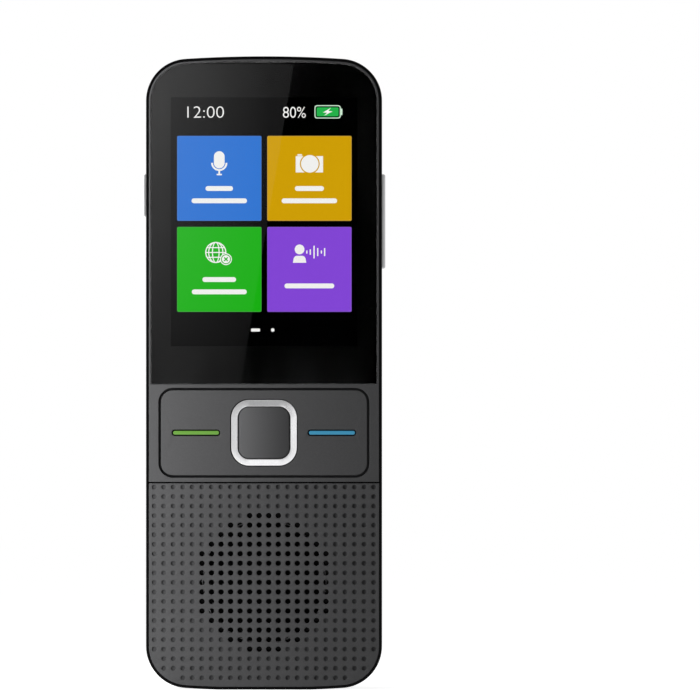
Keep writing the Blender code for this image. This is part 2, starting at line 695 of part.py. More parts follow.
def back_rings(wall, first_angle):
    """Rings down the curved back, drawn in by wall, from an angle on its curve to the flat."""
    rings = []
    for step in range(BACK_STEPS + 1):
        angle = first_angle + (QUARTER - first_angle) * step / BACK_STEPS
        drop = BACK_CURVE_INSET * (1 - math.cos(angle))
        inset = BACK_CURVE_INSET - (BACK_CURVE_INSET - wall) * math.cos(angle)
        depth = SIDE_DEPTH + (BACK_CURVE_DEPTH - wall) * math.sin(angle)
        corner = CORNER_RADIUS - CORNER_TAPER_SHARE * drop - wall
        rings.append((depth, body_outline(inset, corner)))
    return rings


def side_rings():
    """Rings down the rounded rim, the straight side and the start of the curve, to the seam."""
    rings = []
    for step in range(RIM_STEPS + 1):
        angle = QUARTER * step / RIM_STEPS
        inset = RIM_ROUND * (1 - math.sin(angle))
        rings.append((RIM_ROUND * (1 - math.cos(angle)), body_outline(inset)))
    for step in range(RIM_STEPS + 1):
        angle = SEAM_ANGLE * step / RIM_STEPS
        inset = BACK_CURVE_INSET * (1 - math.cos(angle))
        corner = CORNER_RADIUS - CORNER_TAPER_SHARE * inset
        rings.append((SIDE_DEPTH + BACK_CURVE_DEPTH * math.sin(angle), body_outline(inset, corner)))
    return rings


def inner_space(name):
    """The space inside the curved back, open towards the front."""
    rings = back_rings(COVER_WALL, 0)
    straight = body_outline(COVER_WALL)
    return loft(name, [(SIDE_DEPTH - OVERRUN, straight)] + rings)


def ring_wall(name, outer_inset, thickness, front, back, low, high):
    """A wall that follows the body's outline between two depths and two heights."""
    wall = plate(name, [body_outline(outer_inset), body_outline(outer_inset + thickness)], front, back)
    limit = block("height_limit", (-BODY_WIDTH, BODY_WIDTH), (front - OVERRUN, back + OVERRUN), (low, high))
    combine(wall, limit, "INTERSECT")
    return wall


# Front housing


def key_well():
    """The pan under the key plate: its outside, its hollow and the fulcrum ribs."""
    hollow_width = KEY_PLATE_WIDTH + 2 * (KEY_FLANGE_REACH + KEY_WELL_GAP)
    hollow_height = KEY_PLATE_HEIGHT + 2 * (KEY_FLANGE_REACH + KEY_WELL_GAP)
    low = KEYS_HEIGHT - hollow_height / 2
    high = KEYS_HEIGHT + hollow_height / 2
    pan = block("pan", (-INNER_HALF_WIDTH - EMBED, INNER_HALF_WIDTH + EMBED),
                (WEB_BACK - EMBED, WELL_FLOOR_BACK), (low - WELL_WALL, high + WELL_WALL))
    corner = KEY_PLATE_CORNER + KEY_FLANGE_REACH
    hollow = plate("well", [rounded_rectangle(0, KEYS_HEIGHT, hollow_width, hollow_height, corner)],
                   -OVERRUN, WELL_FLOOR_FRONT)
    ribs = []
    rib_place = (RING_SIZE + FULCRUM_LENGTH) / 2 + RING_GAP
    for side, label in ((-1, "lower"), (1, "upper")):
        middle = KEYS_HEIGHT + side * rib_place
        ribs.append(block(
            f"fulcrum_{label}", (-FULCRUM_WIDTH / 2, FULCRUM_WIDTH / 2),
            (KEY_FLANGE_BACK + SEAT_GAP, WELL_FLOOR_FRONT + EMBED),
            (middle - FULCRUM_LENGTH / 2, middle + FULCRUM_LENGTH / 2)))
    return pan, hollow, ribs


def plunger_holes():
    """Holes in the well's floor for the plungers and for the light of the bars."""
    front = WELL_FLOOR_FRONT - EMBED
    back = WELL_FLOOR_BACK + EMBED
    holes = [rod("ok_plunger_hole", 0, KEYS_HEIGHT, OK_PLUNGER_RADIUS + PLUNGER_HOLE_GAP, front, back,
                 sides=SMALL_SIDES)]
    for side, label in ((-1, "left"), (1, "right")):
        holes.append(rod(
            f"{label}_plunger_hole", side * ROCKER_PLUNGER_OFFSET, ROCKER_PLUNGER_HEIGHT,
            ROCKER_PLUNGER_RADIUS + PLUNGER_HOLE_GAP, front, back, sides=SMALL_SIDES))
        holes.append(rod(
            f"{label}_light_hole", side * LIGHT_HOLE_OFFSET, KEYS_HEIGHT, LIGHT_HOLE_RADIUS,
            front, back, sides=HOLE_SIDES))
    return holes


def keypad_posts():
    """Posts behind the well's floor that carry the keypad board."""
    across = KEY_PLATE_WIDTH / 2 - KEYPAD_POST_INSET
    up = KEY_PLATE_HEIGHT / 2 - KEYPAD_POST_INSET
    posts = []
    for side_x, side_z, label in ((-1, -1, "a"), (1, -1, "b"), (1, 1, "c"), (-1, 1, "d")):
        posts.append(rod(
            f"keypad_post_{label}", side_x * across, KEYS_HEIGHT + side_z * up, KEYPAD_POST_RADIUS,
            WELL_FLOOR_BACK - EMBED, KEYPAD_BOARD_FRONT - SEAT_GAP, sides=SMALL_SIDES))
    return posts


def screw_bosses():
    """Four bosses that take the screws: two stand on the web, two on the side walls."""
    bosses = []
    for name, x, z in SCREW_PLACES:
        back = DECK_FRONT - SEAT_GAP
        if z == UPPER_BOSS_HEIGHT:
            front = back - UPPER_BOSS_LENGTH
            wall_x = math.copysign(INNER_HALF_WIDTH + EMBED, x)
            bosses.append(block(f"{name}_lug", (min(x, wall_x), max(x, wall_x)), (front, back),
                                (z - BOSS_RADIUS, z + BOSS_RADIUS)))
        else:
            front = WEB_BACK - EMBED
        bosses.append(rod(f"{name}_boss", x, z, BOSS_RADIUS, front, back, sides=SMALL_SIDES))
    return bosses


def screw_bores():
    """The bores of the bosses."""
    bores = []
    for name, x, z in SCREW_PLACES:
        back = DECK_FRONT + OVERRUN
        front = DECK_BACK + SEAT_GAP - SCREW_LENGTH - SEAT_GAP
        bores.append(rod(f"{name}_bore", x, z, SCREW_SHANK_RADIUS + SCREW_HOLE_GAP, front, back,
                         sides=SMALL_SIDES))
    return bores


def side_key_slot(name, side, height, length):
    """The slot in a side wall that a side key passes through."""
    half_width = SIDE_KEY_WIDTH / 2 + SIDE_KEY_GAP
    half_length = length / 2 + SIDE_KEY_GAP
    inner = side * (INNER_HALF_WIDTH - OVERRUN)
    outer = side * (BODY_WIDTH / 2 + OVERRUN)
    return block(name, (min(inner, outer), max(inner, outer)),
                 (SIDE_KEY_DEPTH - half_width, SIDE_KEY_DEPTH + half_width),
                 (height - half_length, height + half_length))


def socket_depths():
    """The depths of the charging socket's front and back faces."""
    front = WEB_BACK + SEAT_GAP
    return front, front + SOCKET_THICKNESS


def front_housing():
    """The tray that holds everything: rim, side walls, web, key well and bosses."""
    housing = loft("front_housing", side_rings(), "gloss_black")
    recess = plate("panel_recess", [body_outline(RIM_WIDTH)], -OVERRUN, PANEL_SEAT)
    cavity = plate("rear_cavity", [body_outline(HOUSING_WALL)], WEB_BACK, BODY_DEPTH)
    cut(housing, recess, cavity)

    pan, hollow, ribs = key_well()
    fuse(housing, pan)
    cut(housing, hollow)
    fuse(housing, *ribs, *keypad_posts())
    cut(housing, *plunger_holes())

    half_width = DISPLAY_HALF_WIDTH + DISPLAY_WINDOW_GAP
    window = block("display_window", (-half_width, half_width), (0, FRAME_BACK + SEAT_GAP),
                   (DISPLAY_BOTTOM - DISPLAY_WINDOW_GAP, DISPLAY_TOP + DISPLAY_WINDOW_GAP))
    speaker = rod("speaker_opening", 0, HOLES_HEIGHT, SPEAKER_OPENING_RADIUS,
                  PANEL_SEAT - OVERRUN, WEB_BACK + OVERRUN)
    cut(housing, window, speaker)
    fuse(housing, *screw_bosses())
    cut(housing, *screw_bores())

    power = side_key_slot("power_key_slot", -1, POWER_KEY_HEIGHT, POWER_KEY_LENGTH)
    volume = side_key_slot("volume_key_slot", 1, VOLUME_KEY_HEIGHT, VOLUME_KEY_LENGTH)
    cut(housing, power, volume)

    front, back = socket_depths()
    half_slot = SOCKET_WIDTH / 2 + SOCKET_SLOT_GAP
    socket_slot = block("socket_slot", (-half_slot, half_slot),
                        (front - SOCKET_SLOT_GAP + SEAT_GAP, back + SOCKET_SLOT_GAP),
                        (-OVERRUN, HOUSING_WALL + OVERRUN), bevel=SOCKET_BEVEL)
    microphone_hole = rod("microphone_hole", 0, 0, MICROPHONE_HOLE_RADIUS,
                          -HOUSING_WALL - OVERRUN, HOUSING_WALL + OVERRUN, sides=HOLE_SIDES)
    microphone_hole.rotation_euler = (QUARTER, 0, 0)
    microphone_hole.location = (-MICROPHONE_OFFSET, y_at(back - MICROPHONE_THICKNESS / 2), 0)
    cut(housing, socket_slot, microphone_hole)


# Front panels


def key_plate_opening():
    """The opening in the bezel for the key plate, its groove included."""
    return rounded_rectangle(0, KEYS_HEIGHT, KEY_PLATE_WIDTH + 2 * KEY_GROOVE,
                             KEY_PLATE_HEIGHT + 2 * KEY_GROOVE, KEY_PLATE_CORNER + KEY_GROOVE)


def front_bezel():
    """The grey frame: a thin lip round the glass and a strip round the keys."""
    bottom = GRILLE_TOP_HEIGHT + GRILLE_SEAM_GAP / 2
    outer = band(body_outline(RIM_WIDTH + PANEL_GAP), bottom, BODY_HEIGHT)
    glass_opening = band(body_outline(RIM_WIDTH + GLASS_LIP), GLASS_BOTTOM_HEIGHT - PANEL_GAP, BODY_HEIGHT)
    plate("front_bezel", [outer, glass_opening, key_plate_opening()], PANEL_SET_BACK, PANEL_BACK,
          "grey_plastic")


def touch_glass():
    """The cover glass over the whole upper front."""
    outline = band(body_outline(RIM_WIDTH + GLASS_LIP + PANEL_GAP), GLASS_BOTTOM_HEIGHT, BODY_HEIGHT)
    plate("touch_glass", [outline], PANEL_SET_BACK, PANEL_SET_BACK + GLASS_THICKNESS, "cover_glass")


def speaker_hole_places():
    """Centres of the speaker holes, row by row, with the grid's columns between the middle pair."""
    rows = list(HOLES_IN_HALF_ROWS) + [FULL_ROW_HOLES] * FULL_ROWS + list(reversed(HOLES_IN_HALF_ROWS))
    middle_row = (len(rows) - 1) / 2
    places = []
    for row, count in enumerate(rows):
        z = HOLES_HEIGHT + (middle_row - row) * HOLE_PITCH
        for column in range(count):
            places.append(((column - (count - 1) / 2) * HOLE_PITCH, z))
    return places


def speaker_grille():
    """The lower front panel with its round field of holes."""
    top = GRILLE_TOP_HEIGHT - GRILLE_SEAM_GAP / 2
    loops = [band(body_outline(RIM_WIDTH + PANEL_GAP), 0, top)]
    loops += [circle(x, z, HOLE_RADIUS, HOLE_SIDES) for x, z in speaker_hole_places()]
    plate("speaker_grille", loops, PANEL_SET_BACK, PANEL_BACK, "grey_plastic")


# Keys on the front


def key_ring():
    """The silver ring, which stands on the well's floor and guides the middle key."""
    outer = rounded_rectangle(0, KEYS_HEIGHT, RING_SIZE, RING_SIZE, RING_CORNER)
    bevelled = rounded_rectangle(0, KEYS_HEIGHT, RING_SIZE - 2 * RING_BEVEL, RING_SIZE - 2 * RING_BEVEL,
                                 RING_CORNER - RING_BEVEL)
    ring = loft("key_ring", [(-RING_PROUD, bevelled), (RING_BEVEL - RING_PROUD, outer),
                             (WELL_FLOOR_FRONT - SEAT_GAP, outer)], "silver")
    mouth = plate("mouth", [rounded_rectangle(0, KEYS_HEIGHT, RING_INNER_SIZE, RING_INNER_SIZE,
                                              RING_CORNER - RING_WIDTH)], -OVERRUN, WELL_FLOOR_BACK)
    skirt = RING_SIZE - 2 * RING_SKIRT_WIDTH
    guide = plate("guide", [rounded_rectangle(0, KEYS_HEIGHT, skirt, skirt, RING_CORNER - RING_SKIRT_WIDTH)],
                  RING_LIP, WELL_FLOOR_BACK)
    cut(ring, mouth, guide)


def ok_key():
    """The square middle key with its flange and plunger."""
    size = RING_INNER_SIZE - 2 * OK_KEY_GAP
    corner = RING_CORNER - RING_WIDTH - OK_KEY_GAP
    flange_size = size + 2 * OK_FLANGE_REACH
    flange_front = RING_LIP + SEAT_GAP
    flange_back = flange_front + OK_FLANGE_THICKNESS
    face = rounded_rectangle(0, KEYS_HEIGHT, size, size, corner)
    bevelled = rounded_rectangle(0, KEYS_HEIGHT, size - 2 * OK_KEY_BEVEL, size - 2 * OK_KEY_BEVEL,
                                 corner - OK_KEY_BEVEL)
    flange = rounded_rectangle(0, KEYS_HEIGHT, flange_size, flange_size, corner + OK_FLANGE_REACH)
    key = loft("ok_key", [(-OK_KEY_PROUD, bevelled), (OK_KEY_BEVEL - OK_KEY_PROUD, face), (flange_front, face),
                          (flange_front, flange), (flange_back, flange)], "grey_plastic")
    fuse(key, rod("plunger", 0, KEYS_HEIGHT, OK_PLUNGER_RADIUS, flange_back - EMBED, PLUNGER_TIP,
                  sides=SMALL_SIDES))
    carry("ok_key_axis", (0, y_at(flange_back), KEYS_HEIGHT), key)


def light_bar(name, side, finish):
    """A light bar: a narrow raised strip on a wider foot that fills its slot."""
    strip = rounded_rectangle(side * BAR_OFFSET, KEYS_HEIGHT, BAR_LENGTH - BAR_SLOT_WIDTH + BAR_WIDTH,
                              BAR_WIDTH, BAR_WIDTH / 2)
    foot_width = BAR_SLOT_WIDTH - 2 * BAR_FOOT_GAP
    foot = rounded_rectangle(side * BAR_OFFSET, KEYS_HEIGHT, BAR_LENGTH - 2 * BAR_FOOT_GAP, foot_width,
                             foot_width / 2)
    front = PANEL_SET_BACK + BAR_SET_BACK
    return loft(name, [(front, strip), (front + BAR_FOOT_DEPTH, strip), (front + BAR_FOOT_DEPTH, foot),
                       (KEY_FLANGE_FRONT - SEAT_GAP, foot)], finish)


def key_plate():
    """The rocking key plate: its face, the flange that holds it in, and two plungers."""
    opening = RING_SIZE + 2 * RING_GAP
    ring_hole = rounded_rectangle(0, KEYS_HEIGHT, opening, opening, RING_CORNER + RING_GAP)
    outline = rounded_rectangle(0, KEYS_HEIGHT, KEY_PLATE_WIDTH, KEY_PLATE_HEIGHT, KEY_PLATE_CORNER)
    slots = [rounded_rectangle(side * BAR_OFFSET, KEYS_HEIGHT, BAR_LENGTH, BAR_SLOT_WIDTH, BAR_SLOT_WIDTH / 2)
             for side in (-1, 1)]
    face = plate("key_plate", [outline, ring_hole] + slots, PANEL_SET_BACK, KEY_FLANGE_FRONT + EMBED,
                 "grey_plastic")
    flange_outline = rounded_rectangle(
        0, KEYS_HEIGHT, KEY_PLATE_WIDTH + 2 * KEY_FLANGE_REACH, KEY_PLATE_HEIGHT + 2 * KEY_FLANGE_REACH,
        KEY_PLATE_CORNER + KEY_FLANGE_REACH)
    light_holes = [circle(side * LIGHT_HOLE_OFFSET, KEYS_HEIGHT, LIGHT_HOLE_RADIUS, HOLE_SIDES)
                   for side in (-1, 1)]
    flange = plate("flange", [flange_outline, ring_hole] + light_holes, KEY_FLANGE_FRONT, KEY_FLANGE_BACK)
    plungers = [rod(f"{label}_plunger", side * ROCKER_PLUNGER_OFFSET, ROCKER_PLUNGER_HEIGHT,
                    ROCKER_PLUNGER_RADIUS, KEY_FLANGE_BACK - EMBED, PLUNGER_TIP, sides=SMALL_SIDES)
                for side, label in ((-1, "left"), (1, "right"))]
    fuse(face, flange, *plungers)
    green = light_bar("green_light_bar", -1, "green_light")
    blue = light_bar("blue_light_bar", 1, "blue_light")
    carry("key_plate_axis", (0, y_at(KEY_FLANGE_BACK), KEYS_HEIGHT), face, green, blue)


def keypad_board():
    """The board behind the keys, with a metal dome for each plunger and an emitter for each bar."""
    width = KEY_PLATE_WIDTH - 2 * KEYPAD_BOARD_MARGIN
    height = KEY_PLATE_HEIGHT - 2 * KEYPAD_BOARD_MARGIN
    plate("keypad_board", [rounded_rectangle(0, KEYS_HEIGHT, width, height, KEY_PLATE_CORNER)],
          KEYPAD_BOARD_FRONT, KEYPAD_BOARD_BACK, "board")
    places = (("dome_left", -ROCKER_PLUNGER_OFFSET, ROCKER_PLUNGER_HEIGHT),
              ("dome_middle", 0, KEYS_HEIGHT),
              ("dome_right", ROCKER_PLUNGER_OFFSET, ROCKER_PLUNGER_HEIGHT))
    for name, x, z in places:
        inner = DOME_RADIUS - DOME_THICKNESS
        shoulder = math.sqrt(0.5)
        profile = [
            (inner, DOME_BACK), (DOME_RADIUS, DOME_BACK),
            (DOME_RADIUS * shoulder, DOME_FRONT + DOME_RISE * (1 - shoulder)), (0, DOME_FRONT),
            (0, DOME_FRONT + DOME_THICKNESS),
            (inner * shoulder, DOME_FRONT + DOME_THICKNESS + DOME_RISE * (1 - shoulder) / 2)]
        turned(name, x, z, profile, "steel", sides=SMALL_SIDES, is_ring=True)
    for side, label in ((-1, "left"), (1, "right")):
        middle = side * LIGHT_HOLE_OFFSET
        block(f"bar_emitter_{label}", (middle - EMITTER_LENGTH / 2, middle + EMITTER_LENGTH / 2),
              (KEYPAD_BOARD_FRONT - DOME_SEAT_GAP - EMITTER_THICKNESS, KEYPAD_BOARD_FRONT - DOME_SEAT_GAP),
              (KEYS_HEIGHT - EMITTER_WIDTH / 2, KEYS_HEIGHT + EMITTER_WIDTH / 2), "cell_wrap")


# Keys on the sides


def side_key(name, side, height, length, flange_gap):
    """A side key: a bevelled cap that passes through the wall, on a flange that holds it in."""
    half_length = length / 2
    flange_outer = INNER_HALF_WIDTH - flange_gap
    flange_inner = flange_outer - SIDE_FLANGE_THICKNESS
    cap_outer = BODY_WIDTH / 2 + SIDE_KEY_PROUD
    cap_span = sorted((side * (flange_outer - EMBED), side * cap_outer))
    cap = block(name, cap_span, (SIDE_KEY_DEPTH - SIDE_KEY_WIDTH / 2, SIDE_KEY_DEPTH + SIDE_KEY_WIDTH / 2),
                (height - half_length, height + half_length), "silver", bevel=SIDE_KEY_BEVEL)
    reach = SIDE_KEY_WIDTH / 2 + SIDE_FLANGE_REACH
    flange = block("flange", sorted((side * flange_inner, side * flange_outer)),
                   (SIDE_KEY_DEPTH - reach, SIDE_KEY_DEPTH + reach),
                   (height - half_length - SIDE_FLANGE_REACH, height + half_length + SIDE_FLANGE_REACH))
    fuse(cap, flange)
    middle = side * (flange_outer + flange_inner) / 2
    carry(f"{name}_axis", (middle, y_at(SIDE_KEY_DEPTH), height), cap)


def side_switch(name, side, height):
    """A small switch on the board's edge, with its nub towards the key."""
    outer = side * BOARD_HALF_WIDTH - side * SEAT_GAP
    inner = outer - side * SIDE_SWITCH_WIDTH
    front = BOARD_BACK + DOME_SEAT_GAP
    body = block(name, sorted((inner, outer)), (front, front + SIDE_SWITCH_THICKNESS),
                 (height - SIDE_SWITCH_LENGTH / 2, height + SIDE_SWITCH_LENGTH / 2), "steel")
    nub = block("nub", sorted((outer - side * EMBED, outer + side * SWITCH_NUB_LENGTH)),
                (SIDE_KEY_DEPTH - SWITCH_NUB_SIZE / 2, SIDE_KEY_DEPTH + SWITCH_NUB_SIZE / 2),
                (height - SWITCH_NUB_SIZE / 2, height + SWITCH_NUB_SIZE / 2))
    fuse(body, nub)


def side_keys():
    """The power key on the left, the volume key on the right, and the switches behind them."""
    side_key("power_key", -1, POWER_KEY_HEIGHT, POWER_KEY_LENGTH, POWER_FLANGE_GAP)
    side_key("volume_key", 1, VOLUME_KEY_HEIGHT, VOLUME_KEY_LENGTH, VOLUME_FLANGE_GAP)
    side_switch("power_switch", -1, POWER_KEY_HEIGHT)
    side_switch("volume_up_switch", 1, VOLUME_KEY_HEIGHT + VOLUME_SWITCH_SPREAD)
    side_switch("volume_down_switch", 1, VOLUME_KEY_HEIGHT - VOLUME_SWITCH_SPREAD)


# Display and main board


def display():
    """The display module, the steel frame behind it and its ribbon."""
    block("display_module", (-DISPLAY_HALF_WIDTH, DISPLAY_HALF_WIDTH), (DISPLAY_FRONT, DISPLAY_BACK),
          (DISPLAY_BOTTOM, DISPLAY_TOP), "display")
    width = 2 * (DISPLAY_HALF_WIDTH - FRAME_MARGIN)
    height = DISPLAY_TOP - DISPLAY_BOTTOM - 2 * FRAME_MARGIN
    middle = (DISPLAY_TOP + DISPLAY_BOTTOM) / 2
    frame = rounded_rectangle(0, middle, width, height, FRAME_CORNER)
    window = rounded_rectangle(0, middle, width * FRAME_WINDOW_SHARE, height * FRAME_WINDOW_SHARE,
                               FRAME_CORNER)
    plate("display_frame", [frame, window], FRAME_FRONT, FRAME_BACK, "steel")
    front = FRAME_BACK + RIBBON_GAP
    bottom = BOARD_BOTTOM + RIBBON_GAP
    block("display_ribbon", (-DISPLAY_RIBBON_WIDTH / 2, DISPLAY_RIBBON_WIDTH / 2),
          (front, front + RIBBON_THICKNESS), (bottom, bottom + DISPLAY_RIBBON_LENGTH), "ribbon")


def main_board():
    """The main board with its two shield cans and the ribbon to the keypad board."""
    outline = band(body_outline(BOARD_EDGE_INSET), BOARD_BOTTOM, BODY_HEIGHT)
    board = plate("main_board", [outline], BOARD_FRONT, BOARD_BACK, "board")
    for name, x, z in SCREW_PLACES[2:]:
        notch = rod(f"{name}_notch", x, z, BOSS_RADIUS + BOARD_NOTCH_GAP, BOARD_FRONT - OVERRUN,
                    BOARD_BACK + OVERRUN, sides=SMALL_SIDES)
        cut(board, notch)

    front = BOARD_BACK + DOME_SEAT_GAP
    back = front + SHIELD_THICKNESS
    height = BODY_HEIGHT - SHIELD_DROP
    middle = PROCESSOR_SHIELD_WIDTH - SHIELDS_HALF_WIDTH
    block("processor_shield", (-SHIELDS_HALF_WIDTH, middle),
          (front, back), (height - PROCESSOR_SHIELD_HEIGHT / 2, height + PROCESSOR_SHIELD_HEIGHT / 2),
          "steel", bevel=SHIELD_BEVEL)
    block("radio_shield", (middle + SHIELD_SPACING, SHIELDS_HALF_WIDTH), (front, back),
          (height - RADIO_SHIELD_HEIGHT / 2, height + RADIO_SHIELD_HEIGHT / 2), "steel", bevel=SHIELD_BEVEL)

    keypad_top = KEYS_HEIGHT + KEY_PLATE_HEIGHT / 2 - KEYPAD_BOARD_MARGIN
    depths = [KEYPAD_BOARD_BACK + RIBBON_GAP, BOARD_BACK + RIBBON_GAP]
    heights = [keypad_top - KEYPAD_RIBBON_OVERLAP, keypad_top - RIBBON_GAP, BOARD_BOTTOM - RIBBON_GAP,
               BOARD_BOTTOM + KEYPAD_RIBBON_OVERLAP]
    near = [(y_at(depth), z) for depth, z in zip((depths[0], depths[0], depths[1], depths[1]), heights)]
    far = [(y + RIBBON_THICKNESS, z) for y, z in near]
    side_plate("keypad_ribbon", [near + far[::-1]], 0, KEYPAD_RIBBON_WIDTH, "ribbon")


# Speaker


def speaker():
    """The speaker: gasket, basket, cone and magnet, one behind the other."""
    gasket_front = WEB_BACK + SEAT_GAP / 2
    gasket_back = gasket_front + GASKET_THICKNESS
    gasket_inner = GASKET_RADIUS - GASKET_WIDTH
    turned("speaker_gasket", 0, HOLES_HEIGHT,
           [(gasket_inner, gasket_back), (GASKET_RADIUS, gasket_back), (GASKET_RADIUS, gasket_front),
            (gasket_inner, gasket_front)], "foam", is_ring=True)

    front = gasket_back + SEAT_GAP / 2
    rim_back = front + BASKET_RIM
    neck_back = front + BASKET_DEPTH
    turned("speaker_basket", 0, HOLES_HEIGHT,
           [(BASKET_NECK_RADIUS, neck_back), (BASKET_NECK_RADIUS + BASKET_RIM, neck_back),
            (GASKET_RADIUS, rim_back), (GASKET_RADIUS, front), (gasket_inner, front),
            (gasket_inner, rim_back - BASKET_THICKNESS),
            (BASKET_NECK_RADIUS, neck_back - BASKET_THICKNESS)], "steel", is_ring=True)

    edge = gasket_inner - CONE_EDGE_GAP
    cone_back = front + CONE_DEPTH
    cap_front = cone_back - DUST_CAP_RISE
    turned("speaker_cone", 0, HOLES_HEIGHT,
           [(0, cap_front + CONE_THICKNESS), (CONE_NECK_RADIUS, cone_back), (edge, front + CONE_THICKNESS),
            (edge, front), (CONE_NECK_RADIUS, cone_back - CONE_THICKNESS), (0, cap_front)], "foam")

    magnet_front = neck_back + SEAT_GAP / 2
    magnet_back = magnet_front + MAGNET_THICKNESS
    turned("speaker_magnet", 0, HOLES_HEIGHT,
           [(0, magnet_back), (MAGNET_RADIUS - MAGNET_BEVEL, magnet_back),
            (MAGNET_RADIUS, magnet_back - MAGNET_BEVEL), (MAGNET_RADIUS, magnet_front), (0, magnet_front)],
           "magnet")


# Lower board


def lower_board():
    """The board at the bottom end, with the charging socket and the microphone on its front."""
    socket_front, socket_back = socket_depths()
    board_front = socket_back + SEAT_GAP / 2
    middle = LOWER_BOARD_TOP - LOWER_BOARD_HEIGHT / 2
    plate("lower_board", [rounded_rectangle(0, middle, 2 * LOWER_BOARD_HALF_WIDTH, LOWER_BOARD_HEIGHT,
                                            LOWER_BOARD_CORNER, steps=2)],
          board_front, board_front + LOWER_BOARD_THICKNESS, "board")

    half_width = SOCKET_WIDTH / 2
    socket = block("charging_socket", (-half_width, half_width), (socket_front, socket_back),
                   (SOCKET_SET_BACK, SOCKET_SET_BACK + SOCKET_LENGTH), "steel", bevel=SOCKET_BEVEL)
    mouth = block("mouth", (SOCKET_WALL - half_width, half_width - SOCKET_WALL),
                  (socket_front + SOCKET_WALL, socket_back - SOCKET_WALL),
                  (-OVERRUN, SOCKET_SET_BACK + SOCKET_LENGTH - SOCKET_FLOOR))
    tongue_middle = (socket_front + socket_back) / 2
    tongue_top = SOCKET_SET_BACK + SOCKET_LENGTH - SOCKET_FLOOR + EMBED
    tongue = block("tongue", (-SOCKET_TONGUE_WIDTH / 2, SOCKET_TONGUE_WIDTH / 2),
                   (tongue_middle - SOCKET_TONGUE_THICKNESS / 2, tongue_middle + SOCKET_TONGUE_THICKNESS / 2),
                   (tongue_top - SOCKET_TONGUE_LENGTH, tongue_top))
    cut(socket, mouth)
    fuse(socket, tongue)

    left = -MICROPHONE_OFFSET - MICROPHONE_WIDTH / 2
    bottom = HOUSING_WALL + LOWER_BOARD_LIFT
    block("microphone", (left, left + MICROPHONE_WIDTH), (socket_back - MICROPHONE_THICKNESS, socket_back),
          (bottom, bottom + MICROPHONE_HEIGHT), "steel")


# Rear housing and battery cover


def curved_shell(name, low, high, finish):
    """A stretch of the curved back between two heights, hollow towards the front."""
    shell = loft(name, back_rings(0, COVER_EDGE_ANGLE), finish)
    limit = block("height_limit", (-BODY_WIDTH, BODY_WIDTH), (0, BODY_DEPTH + OVERRUN), (low, high))
    combine(shell, limit, "INTERSECT")
    cut(shell, inner_space("hollow"))
    return shell


def locating_lip(low, high):
    """The lip of a rear shell that enters the front housing."""
    return ring_wall("locating_lip", HOUSING_WALL + DECK_EDGE_GAP, LIP_THICKNESS,
                     SEAM_DEPTH - LIP_LENGTH, COVER_EDGE_DEPTH + EMBED, low, high)


def seam_tongue():
    """The tongue of the rear housing that runs under the top edge of the battery cover."""
    outer_wall = COVER_WALL + TONGUE_GAP
    outer = loft("seam_tongue", back_rings(outer_wall, COVER_EDGE_ANGLE))
    inner = loft("tongue_hollow", [(SIDE_DEPTH, body_outline(outer_wall + TONGUE_THICKNESS))]
                 + back_rings(outer_wall + TONGUE_THICKNESS, COVER_EDGE_ANGLE / 2))
    limit = block("height_limit", (-DECK_HALF_WIDTH, DECK_HALF_WIDTH), (0, BODY_DEPTH),
                  (COVER_TOP_HEIGHT - TONGUE_LENGTH, REAR_EDGE_HEIGHT + EMBED))
    cut(outer, inner)
    combine(outer, limit, "INTERSECT")
    return outer


def bulkhead():
    """The wall across the device between the battery bay and the upper chamber."""
    half_width = DECK_HALF_WIDTH
    wall = block("bulkhead", (-half_width, half_width), (DECK_FRONT, BODY_DEPTH),
                 (REAR_EDGE_HEIGHT, BULKHEAD_TOP))
    limit = loft("bulkhead_limit", [(0, body_outline(COVER_WALL / 2))] + back_rings(COVER_WALL / 2, 0))
    combine(wall, limit, "INTERSECT")
    return wall


def battery_pocket():
    """The walls round the battery, on the deck."""
    half_width = BATTERY_WIDTH / 2 + BATTERY_POCKET_GAP
    bottom = BATTERY_BOTTOM_HEIGHT - BATTERY_POCKET_GAP
    top = CONTACT_BLOCK_TOP + BATTERY_POCKET_GAP
    middle = (bottom + top) / 2
    inner = rounded_rectangle(0, middle, 2 * half_width, top - bottom, BATTERY_ROUND, steps=2)
    outer = rounded_rectangle(0, middle, 2 * (half_width + POCKET_WALL), top - bottom + 2 * POCKET_WALL,
                              BATTERY_ROUND + POCKET_WALL, steps=2)
    return plate("battery_pocket", [outer, inner], DECK_BACK - EMBED, DECK_BACK + POCKET_RISE)


def camera_boss():
    """The round boss for the camera and flash: a cone, its recess and two bores."""
    root_depth = BODY_DEPTH - ISLAND_ROOT_DEPTH
    root_radius = ISLAND_RADIUS + (ISLAND_TOP - root_depth) * ISLAND_DRAFT_SHARE
    boss = rod("camera_boss", 0, CAMERA_HEIGHT, root_radius, root_depth, ISLAND_TOP,
               back_radius=ISLAND_RADIUS, sides=ISLAND_SIDES)
    recess = rod("camera_recess", 0, CAMERA_HEIGHT, ISLAND_RADIUS - ISLAND_RIM_WIDTH, CAMERA_SEAT,
                 ISLAND_TOP + OVERRUN, sides=ISLAND_SIDES)
    lens_bore = rod("lens_bore", LENS_OFFSET, CAMERA_HEIGHT, CAMERA_BARREL_RADIUS + CAMERA_BARREL_GAP,
                    root_depth - OVERRUN, CAMERA_SEAT + OVERRUN)
    flash_bore = rod("flash_bore", -LENS_OFFSET, CAMERA_HEIGHT, FLASH_RADIUS + CAMERA_BARREL_GAP,
                     root_depth - OVERRUN, CAMERA_SEAT + OVERRUN)
    return boss, recess, lens_bore, flash_bore


